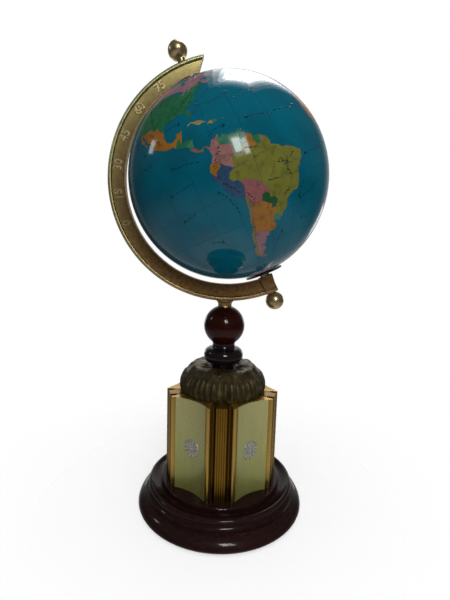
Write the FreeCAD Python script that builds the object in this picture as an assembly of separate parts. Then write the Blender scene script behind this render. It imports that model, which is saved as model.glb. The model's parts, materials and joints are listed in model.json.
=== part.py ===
"""Desktop globe on a stand, in millimetres, +Z up.

The origin is the centre of the underside.  -Y is the front.  The half-ring arm lies
in the XZ plane and opens towards +X.  The globe turns about an axle that leans 23.5
degrees towards -X.  Each sub-part is one node, written as parts/NODE.step.
"""
import FreeCAD
import Part
import math
import os

from FreeCAD import Vector

# ---------------------------------------------------------------- driving dimensions
GLOBE_R = 63.5            # outside radius of the 5 inch globe
GLOBE_Z = 220.6           # height of the globe's centre
SHELL_WALL = 2.0
TILT = 23.5               # lean of the axle from upright, towards -X

ARM_OUT_R = 78.2          # meridian arm, measured from the globe's centre
ARM_IN_R = 66.8
ARM_HALF_T = 2.8          # half thickness at the raised outer bead
ARM_WEB_HALF_T = 2.2
ARM_TIP_DEG = 13.0        # outer end of the arm, from straight up towards -X
ARM_TIP_IN_DEG = 18.4     # inner end of the slanted tip
ARM_END_DEG = 207.0

AXLE_R = 1.5
AXLE_RUN = 0.05           # radial running clearance in the bushes
KNOB_R = 6.1
KNOB_TOP_S = 85.5         # ball centres, measured along the axle
KNOB_LOW_S = 84.0
BUSH_R = 5.0
POLE_DISC_R = 12.5
POLE_DISC_S = 63.3        # inner face of each polar disc, along the axle
POLE_DISC_T = 0.8
END_PLAY = 0.3            # gap between a polar disc and the first washer
WASHER_R = 3.3

BASE_R = 57.1             # widest point of the plinth
STEP_R = 41.2             # raised step that the column stands on
STEP_Z = 19.2
FELT_R = 50.0
FELT_T = 1.5
FELT_PROUD = 0.5          # how far the felt stands below the plinth

FACES = 5
COLUMN_TOP = 81.3
STRIP_APOTHEM = 37.25     # front of each corner strip, from the column's axis
STRIP_HALF_W = 8.5
FACE_SAG = 3.7            # how hollow each face is
FLANGE_W = 2.7            # gold margin on each side of an inlay
BORE_R = 29.4
PANEL_T = 0.8
PANEL_PROUD = 0.2
EMBLEM_R = 6.0
EMBLEM_T = 0.5
EMBLEM_Z = 49.5
PLATE_T = 3.0
SLIP = 0.05               # radial slip of the parts that drop into a recess

DOME_R = 29.6
DOME_WALL = 2.2
RING_R = 13.4
RING_Z = 105.2
BALL_R = 13.8
BALL_Z = 125.6

ROD_R = 3.0               # M6 tie rod
ROD_CLEAR = 0.3
STUD_R = 1.5              # M3 stud that holds the arm
NUT_FLATS = 10.0
NUT_H = 5.0
SLEEVE_R = 5.0

CENTRE = Vector(0, 0, GLOBE_Z)
NORTH = Vector(-math.sin(math.radians(TILT)), 0, math.cos(math.radians(TILT)))
UP = Vector(0, 0, 1)


# ---------------------------------------------------------------- helpers
def save(name, shape):
    """Write one node, after checking that it is a sound solid."""
    if not shape.isValid():
        raise ValueError(name + " is not valid")
    shape.exportStep("parts/" + name + ".step")
    print(name, "solids", len(shape.Solids), "volume", round(shape.Volume, 1))


def outline(start, steps, place):
    """A closed wire: a pair is a straight line to it, four numbers an arc by way of
    the first pair to the second.  place() turns two plane values into a Vector."""
    here = place(*start)
    edges = []
    for step in list(steps) + [start]:
        there = place(*step[-2:])
        if len(step) == 4:
            edges.append(Part.Arc(here, place(*step[:2]), there).toShape())
        elif here.distanceToPoint(there) > 1e-7:
            edges.append(Part.makeLine(here, there))
        here = there
    return Part.Wire(edges)


def turned(start, steps):
    """A solid turned about the Z axis from an outline in (radius, height)."""
    wire = outline(start, steps, lambda r, z: Vector(r, 0, z))
    return Part.Face(wire).revolve(Vector(0, 0, 0), UP, 360)


def rod(radius, low, high):
    return Part.makeCylinder(radius, high - low, Vector(0, 0, low))


def tube(outer, inner, low, high):
    return rod(outer, low, high).cut(rod(inner, low, high))


def on_axle(shape, pole):
    """Move a shape from the Z axis onto the axle, s = 0 at the globe's centre.
    pole is 1 for the north end and -1 for the south end."""
    direction = NORTH * pole
    moved = shape.copy()
    moved.Placement = FreeCAD.Placement(CENTRE, FreeCAD.Rotation(UP, direction))
    return moved


def around_column(shape, index):
    """Copy a shape that faces -Y to the strip or face with this index."""
    turned_copy = shape.copy()
    turned_copy.rotate(Vector(0, 0, 0), UP, 360.0 / FACES * index)
    return turned_copy


# ---------------------------------------------------------------- base
def base_plinth():
    """Turned moulding: bullnose foot, cove, rim bead, dished top and a raised step."""
    bottom = FELT_PROUD
    well_r, well_z = 11.0, 9.0
    steps = [
        (well_r, well_z), (well_r, FELT_T), (FELT_R + SLIP, FELT_T), (FELT_R + SLIP, bottom),
        (BASE_R - 2.5, bottom),
        (BASE_R - 0.7, bottom + 0.7, BASE_R, bottom + 2.1),
        (BASE_R - 1.8, 6.8, BASE_R - 5.7, 9.4),
        (BASE_R - 5.7, 10.2),
        (BASE_R - 7.8, 11.1, BASE_R - 8.7, 13.2),
        (BASE_R - 7.5, 14.6),
        (BASE_R - 7.5, 16.8, BASE_R - 9.4, 17.5),
        (STEP_R + 3.2, 15.6, STEP_R, 15.2),
        (STEP_R, STEP_Z - 0.8),
        (STEP_R - 0.24, STEP_Z - 0.24, STEP_R - 0.8, STEP_Z),
        (ROD_R + ROD_CLEAR, STEP_Z),
    ]
    return turned((ROD_R + ROD_CLEAR, well_z), steps)


def base_washer():
    return tube(9.0, ROD_R + ROD_CLEAR, 7.8, 9.0)


def hex_nut(low):
    corner = NUT_FLATS / 2 / math.cos(math.radians(30))
    corners = []
    for k in range(7):
        turn = math.radians(60 * k)
        corners.append(Vector(corner * math.cos(turn), corner * math.sin(turn), low))
    body = Part.Face(Part.makePolygon(corners)).extrude(Vector(0, 0, NUT_H))
    return body.cut(rod(ROD_R, low, low + NUT_H))


# ---------------------------------------------------------------- column
def face_geometry():
    """Half chord, chord distance, arc radius and arc centre distance of a hollow face."""
    corner_r = math.hypot(STRIP_APOTHEM, STRIP_HALF_W)
    half_angle = math.pi / FACES - math.atan2(STRIP_HALF_W, STRIP_APOTHEM)
    half_chord = corner_r * math.sin(half_angle)
    chord_at = corner_r * math.cos(half_angle)
    radius = (half_chord ** 2 + FACE_SAG ** 2) / (2 * FACE_SAG)
    return half_chord, chord_at, radius, chord_at - FACE_SAG + radius


def reeds():
    """Top outline of the reeded pilaster in (across, out), from left to right."""
    count, width = 5, 1.4
    crest = STRIP_APOTHEM - 0.15
    valley = crest - 0.45
    left = -count * width / 2
    steps = []
    for k in range(count):
        middle = left + width * (k + 0.5)
        steps.append((middle, crest, middle + width / 2, valley))
    return left, valley, steps


def strip_steps():
    """Outline of one corner strip in (across, out): bead, groove, reeds, groove, bead."""
    bead_w = 1.7
    bead_in = STRIP_HALF_W - bead_w
    bead_low = STRIP_APOTHEM - 0.75
    floor = STRIP_APOTHEM - 4.7
    left, valley, reed_steps = reeds()
    groove_mid = (bead_in - left) / 2
    steps = [
        (-STRIP_HALF_W + bead_w / 2, STRIP_APOTHEM, -bead_in, bead_low),
        (-bead_in + 0.2, floor + 1.0),
        (-groove_mid, floor, left - 0.2, floor + 1.0),
        (left, valley),
    ]
    steps += reed_steps
    steps += [
        (-left + 0.2, floor + 1.0),
        (groove_mid, floor, bead_in - 0.2, floor + 1.0),
        (bead_in, bead_low),
        (STRIP_HALF_W - bead_w / 2, STRIP_APOTHEM, STRIP_HALF_W, bead_low),
    ]
    return (-STRIP_HALF_W, bead_low), steps


def rotated(point, degrees):
    turn = math.radians(degrees)
    x, y = point
    return (x * math.cos(turn) - y * math.sin(turn), x * math.sin(turn) + y * math.cos(turn))


def column_blank():
    """The extrusion's outer shape: five corner strips joined by hollow faces."""
    start, strip = strip_steps()
    sag_at = face_geometry()[1] - FACE_SAG
    steps = []
    first = None
    for index in range(FACES):
        turn = 360.0 / FACES * index

        def world(pair):
            across, out = pair
            return rotated((across, -out), turn)

        begin = world(start)
        if first is None:
            first = begin
        else:
            hollow = rotated((0, -sag_at), turn - 180.0 / FACES)
            steps.append(hollow + begin)
        for step in strip:
            pairs = [world(step[k:k + 2]) for k in range(0, len(step), 2)]
            steps.append(sum(pairs, ()))
    hollow = rotated((0, -sag_at), -180.0 / FACES)
    steps.append(hollow + first)
    wire = outline(first, steps, lambda x, y: Vector(x, y, STEP_Z))
    return Part.Face(wire).extrude(Vector(0, 0, COLUMN_TOP - STEP_Z))


def face_sheet(near, far, half_width):
    """A bent sheet on the face that looks along -Y, between two radii of its arc."""
    centre_at = face_geometry()[3]
    centre = Vector(0, -centre_at, STEP_Z)
    height = COLUMN_TOP - STEP_Z
    ring = Part.makeCylinder(far, height, centre).cut(Part.makeCylinder(near, height, centre))
    keep = Part.makeBox(2 * half_width, far, height, Vector(-half_width, -centre_at, STEP_Z))
    return ring.common(keep)


def face_panel(index):
    half_chord, _, radius, _ = face_geometry()
    sheet = face_sheet(radius - PANEL_PROUD, radius - PANEL_PROUD + PANEL_T, half_chord - FLANGE_W)
    return around_column(sheet, index + 0.5)


def panel_emblem(index):
    radius = face_geometry()[2] - PANEL_PROUD
    sheet = face_sheet(radius - EMBLEM_T, radius, EMBLEM_R + 1)
    punch = Part.makeCylinder(EMBLEM_R, 60, Vector(0, 0, EMBLEM_Z), Vector(0, -1, 0))
    return around_column(sheet.common(punch), index + 0.5)


def column_tube():
    shape = column_blank().cut(rod(BORE_R, STEP_Z, COLUMN_TOP))
    for index in range(FACES):
        shape = shape.cut(face_panel(index))
    return shape


def column_plate(low):
    return tube(BORE_R - SLIP, ROD_R + ROD_CLEAR, low, low + PLATE_T)


# ---------------------------------------------------------------- dome, ring and ball
def dome_cap():
    """Hollow cast dome with a rolled crest and a dimple for the turned neck."""
    low = COLUMN_TOP
    wall = DOME_WALL
    steps = [
        (DOME_R, low),
        (DOME_R, low + 3.5),
        (28.6, 90.3, 25.5, 95.0),
        (21.6, 98.9, 16.0, 100.5),
        (11.0, 99.2, 8.4, 96.2),
        (ROD_R + ROD_CLEAR, 96.2),
        (ROD_R + ROD_CLEAR, 96.2 - wall),
        (9.2, 96.2 - wall),
        (12.2, 97.2, 16.0, 100.5 - wall),
        (20.4, 97.0, 24.0, 93.4),
        (26.6, 89.5, DOME_R - wall, low + 3.5),
        (DOME_R - wall, low),
    ]
    return turned((DOME_R - wall / 2, low), steps)


def ball_blank():
    return Part.makeSphere(BALL_R, Vector(0, 0, BALL_Z))


def spool_ring():
    """Turned ring with a neck below, and a neck above that is cupped for the ball."""
    hole = ROD_R + ROD_CLEAR
    half_h = 5.3
    top = BALL_Z - BALL_R + 2.6
    steps = [
        (7.3, 96.2), (7.0, RING_Z - half_h - 0.4), (8.2, RING_Z - half_h),
        (11.9, RING_Z - 3.9, RING_R, RING_Z),
        (11.9, RING_Z + 3.9, 8.6, RING_Z + half_h),
        (7.9, RING_Z + half_h + 0.9, 8.2, top),
        (hole, top),
    ]
    return turned((hole, 96.2), steps).cut(ball_blank())


def ball_finial():
    pocket_top = BALL_Z + 8.4
    shape = ball_blank().cut(rod(SLEEVE_R, BALL_Z - BALL_R - 1, pocket_top))
    return shape.cut(rod(STUD_R, pocket_top - 1, BALL_Z + BALL_R + 1))


def coupling_sleeve():
    low, split, high = BALL_Z - 9.0, BALL_Z, BALL_Z + 8.4
    shape = rod(SLEEVE_R, low, high).cut(rod(ROD_R, low, split))
    return shape.cut(rod(STUD_R, split, high))


def arm_ferrule(arm):
    """Flared collar between the ball and the arm, fitted to both."""
    low = BALL_Z + BALL_R - 1.0
    high = GLOBE_Z - ARM_OUT_R + 0.7
    steps = [(4.9, low), (4.6, low + 1.8, 5.7, high - 0.9), (5.7, high), (STUD_R, high)]
    shape = turned((STUD_R, low), steps)
    return shape.cut(ball_blank()).cut(arm)


# ---------------------------------------------------------------- meridian arm
def arm_section():
    """Half-ring section in (distance from the globe's centre, thickness)."""
    bead_in = ARM_OUT_R - 2.7
    rim_in = ARM_IN_R + 0.9
    web, full = ARM_WEB_HALF_T, ARM_HALF_T
    rim = web + 0.25
    corner = 0.7
    return [
        (rim_in - 0.25, rim), (rim_in, web), (bead_in - 0.6, web),
        (bead_in - 0.3, web - 0.45, bead_in, web), (bead_in + 0.3, full - 0.1),
        (bead_in + 1.3, full + 0.1, ARM_OUT_R - corner, full - 0.3),
        (ARM_OUT_R - 0.15, full - 0.8, ARM_OUT_R, web - corner),
        (ARM_OUT_R, corner - web),
        (ARM_OUT_R - 0.15, 0.8 - full, ARM_OUT_R - corner, 0.3 - full),
        (bead_in + 1.3, -full - 0.1, bead_in + 0.3, 0.1 - full),
        (bead_in, -web), (bead_in - 0.3, 0.45 - web, bead_in - 0.6, -web),
        (rim_in, -web), (rim_in - 0.25, -rim), (ARM_IN_R, -rim),
    ]


def from_centre(radius, degrees):
    """A point in the arm's plane, measured from straight up towards -X."""
    turn = math.radians(degrees)
    return Vector(-radius * math.sin(turn), 0, GLOBE_Z + radius * math.cos(turn))


def arm_block():
    """Bearing block that carries the lower end of the axle."""
    inner, outer = ARM_IN_R - 0.6, ARM_OUT_R - 0.1
    half_t = 3.5
    corners = [(-4.75, inner), (4.75, inner), (4.0, outer), (-4.0, outer), (-4.75, inner)]
    face = Part.Face(Part.makePolygon([Vector(x, -half_t, z) for x, z in corners]))
    block = face.extrude(Vector(0, 2 * half_t, 0))
    long_edges = [e for e in block.Edges if abs(e.BoundBox.YLength) < 1e-6]
    return block.makeFillet(0.8, long_edges)


def meridian_arm():
    """The half-ring with its slanted tip, bearing block, axle holes and stud hole."""
    start_deg = ARM_TIP_DEG - 2
    wire = outline((ARM_IN_R, ARM_WEB_HALF_T + 0.25), arm_section(),
                   lambda r, y: Vector(0, y, GLOBE_Z + r))
    ring = Part.Face(wire).revolve(CENTRE, Vector(0, -1, 0), ARM_END_DEG - start_deg)
    ring.rotate(CENTRE, Vector(0, -1, 0), start_deg)
    far = from_centre(ARM_OUT_R * 1.6, ARM_TIP_DEG)
    cut_line = [from_centre(ARM_OUT_R, ARM_TIP_DEG), from_centre(ARM_IN_R, ARM_TIP_IN_DEG)]
    run = (cut_line[0] - cut_line[1]) * 2
    side = Vector(30, 0, 0)
    wedge = [cut_line[1] - run, cut_line[0] + run, cut_line[0] + run + side,
             cut_line[1] - run + side]
    wedge = [Vector(p.x, -10, p.z) for p in wedge]
    ring = ring.cut(Part.Face(Part.makePolygon(wedge + wedge[:1])).extrude(Vector(0, 20, 0)))
    block = on_axle(arm_block(), -1)
    shape = ring.fuse(block)
    hole = rod(AXLE_R, 60, 90)
    shape = shape.cut(on_axle(hole, 1)).cut(on_axle(hole, -1))
    low = GLOBE_Z - ARM_OUT_R
    shape = shape.cut(rod(STUD_R, low - 1, low + 8))
    return shape.removeSplitter()


# ---------------------------------------------------------------- axle and its fittings
def knob(ball_s):
    """Ball knob with a short neck, drilled for the axle's end."""
    neck_low = ARM_OUT_R
    ball = Part.makeSphere(KNOB_R, Vector(0, 0, ball_s))
    neck = rod(2.5, neck_low, ball_s)
    below = rod(KNOB_R + 1, neck_low - 10, neck_low)
    return ball.fuse(neck).cut(below).cut(rod(AXLE_R, neck_low - 1, ball_s - 1)).removeSplitter()


def axle_rod():
    low = -(KNOB_LOW_S - 1)
    return rod(AXLE_R, low, KNOB_TOP_S - 1)


def soft_washer(low, high):
    """Washer with rounded outer edges, bored for the axle."""
    soften = 0.3
    blank = tube(WASHER_R, AXLE_R, low, high)
    rims = [e for e in blank.Edges if abs(e.BoundBox.XLength - 2 * WASHER_R) < 1e-6]
    return blank.makeFillet(soften, [e for e in rims if e.BoundBox.ZLength < 1e-6])


# ---------------------------------------------------------------- globe
def shell_half(pole):
    """Hollow hemisphere with a hole at its pole."""
    outer = Part.makeSphere(GLOBE_R, Vector(0, 0, 0), UP, 0, 90, 360)
    inner = Part.makeSphere(GLOBE_R - SHELL_WALL)
    shape = outer.cut(inner).cut(rod(BUSH_R, 0, GLOBE_R + 1))
    return on_axle(shape, pole)


def equator_ring():
    """Band inside the joint that lines up the two halves."""
    half_h = 5.0
    ball = Part.makeSphere(GLOBE_R - SHELL_WALL)
    band = tube(GLOBE_R, GLOBE_R - SHELL_WALL - 1.8, -half_h, half_h)
    return on_axle(band.common(ball), 1)


def bush():
    """Flanged bearing that fills the hole in a shell's pole."""
    bore = AXLE_R + AXLE_RUN
    flange_r, flange_top, low = 7.5, 61.0, 57.5
    steps = [(flange_r, low), (flange_r, flange_top), (BUSH_R, flange_top),
             (BUSH_R, POLE_DISC_S), (bore, POLE_DISC_S)]
    return turned((bore, low), steps)


def pole_disc():
    """Thin plate on each pole of the globe."""
    return tube(POLE_DISC_R, AXLE_R + 0.4, POLE_DISC_S, POLE_DISC_S + POLE_DISC_T)


def main():
    os.makedirs("parts", exist_ok=True)
    arm = meridian_arm()
    save("base_plinth", base_plinth())
    save("base_felt", rod(FELT_R, 0, FELT_T))
    save("base_washer", base_washer())
    save("base_nut", hex_nut(7.8 - NUT_H))
    save("tie_rod", rod(ROD_R, 2.2, BALL_Z))
    save("column_tube", column_tube())
    save("column_bottom_plate", column_plate(STEP_Z))
    save("column_top_plate", column_plate(COLUMN_TOP - PLATE_T))
    for index in range(FACES):
        save("face_panel_%d" % (index + 1), face_panel(index))
        save("panel_emblem_%d" % (index + 1), panel_emblem(index))
    save("dome_cap", dome_cap())
    save("spool_ring", spool_ring())
    save("ball_finial", ball_finial())
    save("coupling_sleeve", coupling_sleeve())
    save("arm_ferrule", arm_ferrule(arm))
    save("arm_stud", rod(STUD_R, BALL_Z, GLOBE_Z - ARM_OUT_R + 8))
    save("meridian_arm", arm)
    save("axle_rod", on_axle(axle_rod(), 1))
    save("top_knob", on_axle(knob(KNOB_TOP_S), 1))
    save("bottom_knob", on_axle(knob(KNOB_LOW_S), -1))
    first = POLE_DISC_S + POLE_DISC_T + END_PLAY
    north_seat = math.sqrt(ARM_IN_R ** 2 - WASHER_R ** 2) - 0.02
    for name, pole, seat in (("north", 1, north_seat), ("south", -1, ARM_IN_R - 0.6)):
        middle = (first + seat) / 2
        save(name + "_thrust_washer", on_axle(soft_washer(first, middle), pole))
        save(name + "_spacer_ring", on_axle(soft_washer(middle, seat), pole))
        save(name + "_shell", shell_half(pole))
        save(name + "_bush", on_axle(bush(), pole))
        save(name + "_pole_disc", on_axle(pole_disc(), pole))
    save("equator_ring", equator_ring())


main()
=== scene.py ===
"""Looks of the desktop globe on its stand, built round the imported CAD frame.

Places are in metres in the frame's own axes: +Z up, -Y the front.  The object's named
sizes are written in millimetres and multiplied by MM, here or where they are used, and
the studio's are in metres.  Map places are longitude,latitude in degrees.  Every
material is procedural.
"""

import json
import math
import random

import bmesh
import bpy
import numpy as np
from mathutils import Matrix, Vector, geometry


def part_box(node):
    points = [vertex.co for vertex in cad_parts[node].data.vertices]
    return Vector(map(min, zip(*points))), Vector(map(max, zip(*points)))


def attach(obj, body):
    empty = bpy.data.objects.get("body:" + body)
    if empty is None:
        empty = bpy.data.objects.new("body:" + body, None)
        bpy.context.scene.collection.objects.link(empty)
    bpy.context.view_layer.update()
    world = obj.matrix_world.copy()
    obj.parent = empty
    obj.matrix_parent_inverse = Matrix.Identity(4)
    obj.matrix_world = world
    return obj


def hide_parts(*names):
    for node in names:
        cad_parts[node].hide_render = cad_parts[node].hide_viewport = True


MM = 0.001

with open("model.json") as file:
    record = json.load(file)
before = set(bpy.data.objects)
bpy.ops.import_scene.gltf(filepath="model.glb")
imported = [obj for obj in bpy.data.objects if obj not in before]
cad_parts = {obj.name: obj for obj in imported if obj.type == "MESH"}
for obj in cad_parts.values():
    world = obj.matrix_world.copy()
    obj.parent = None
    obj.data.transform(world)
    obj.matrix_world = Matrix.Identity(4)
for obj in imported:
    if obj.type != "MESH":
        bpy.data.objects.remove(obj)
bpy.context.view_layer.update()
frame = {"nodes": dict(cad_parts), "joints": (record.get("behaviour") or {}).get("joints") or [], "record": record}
nodes = frame["nodes"]
spin = frame["joints"][0]

NORTH = Vector(spin["axis"])
CENTRE = Vector(spin["pos_m"])
FRONT = Vector((0, -1, 0))
EAST = NORTH.cross(FRONT)
SHELL_LOW, SHELL_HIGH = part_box("north_shell")
LINES_PROUD = 0.04 * MM         # room for the printed lines inside the CAD size
GLOBE_R = (SHELL_HIGH.y - SHELL_LOW.y) / 2 - LINES_PROUD
SHELL_WALL = 2.0 * MM
ARM_IN_R, ARM_OUT_R = 66.8, 78.2
FACES = 5                       # hollow faces, and corner strips, of the column

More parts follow.
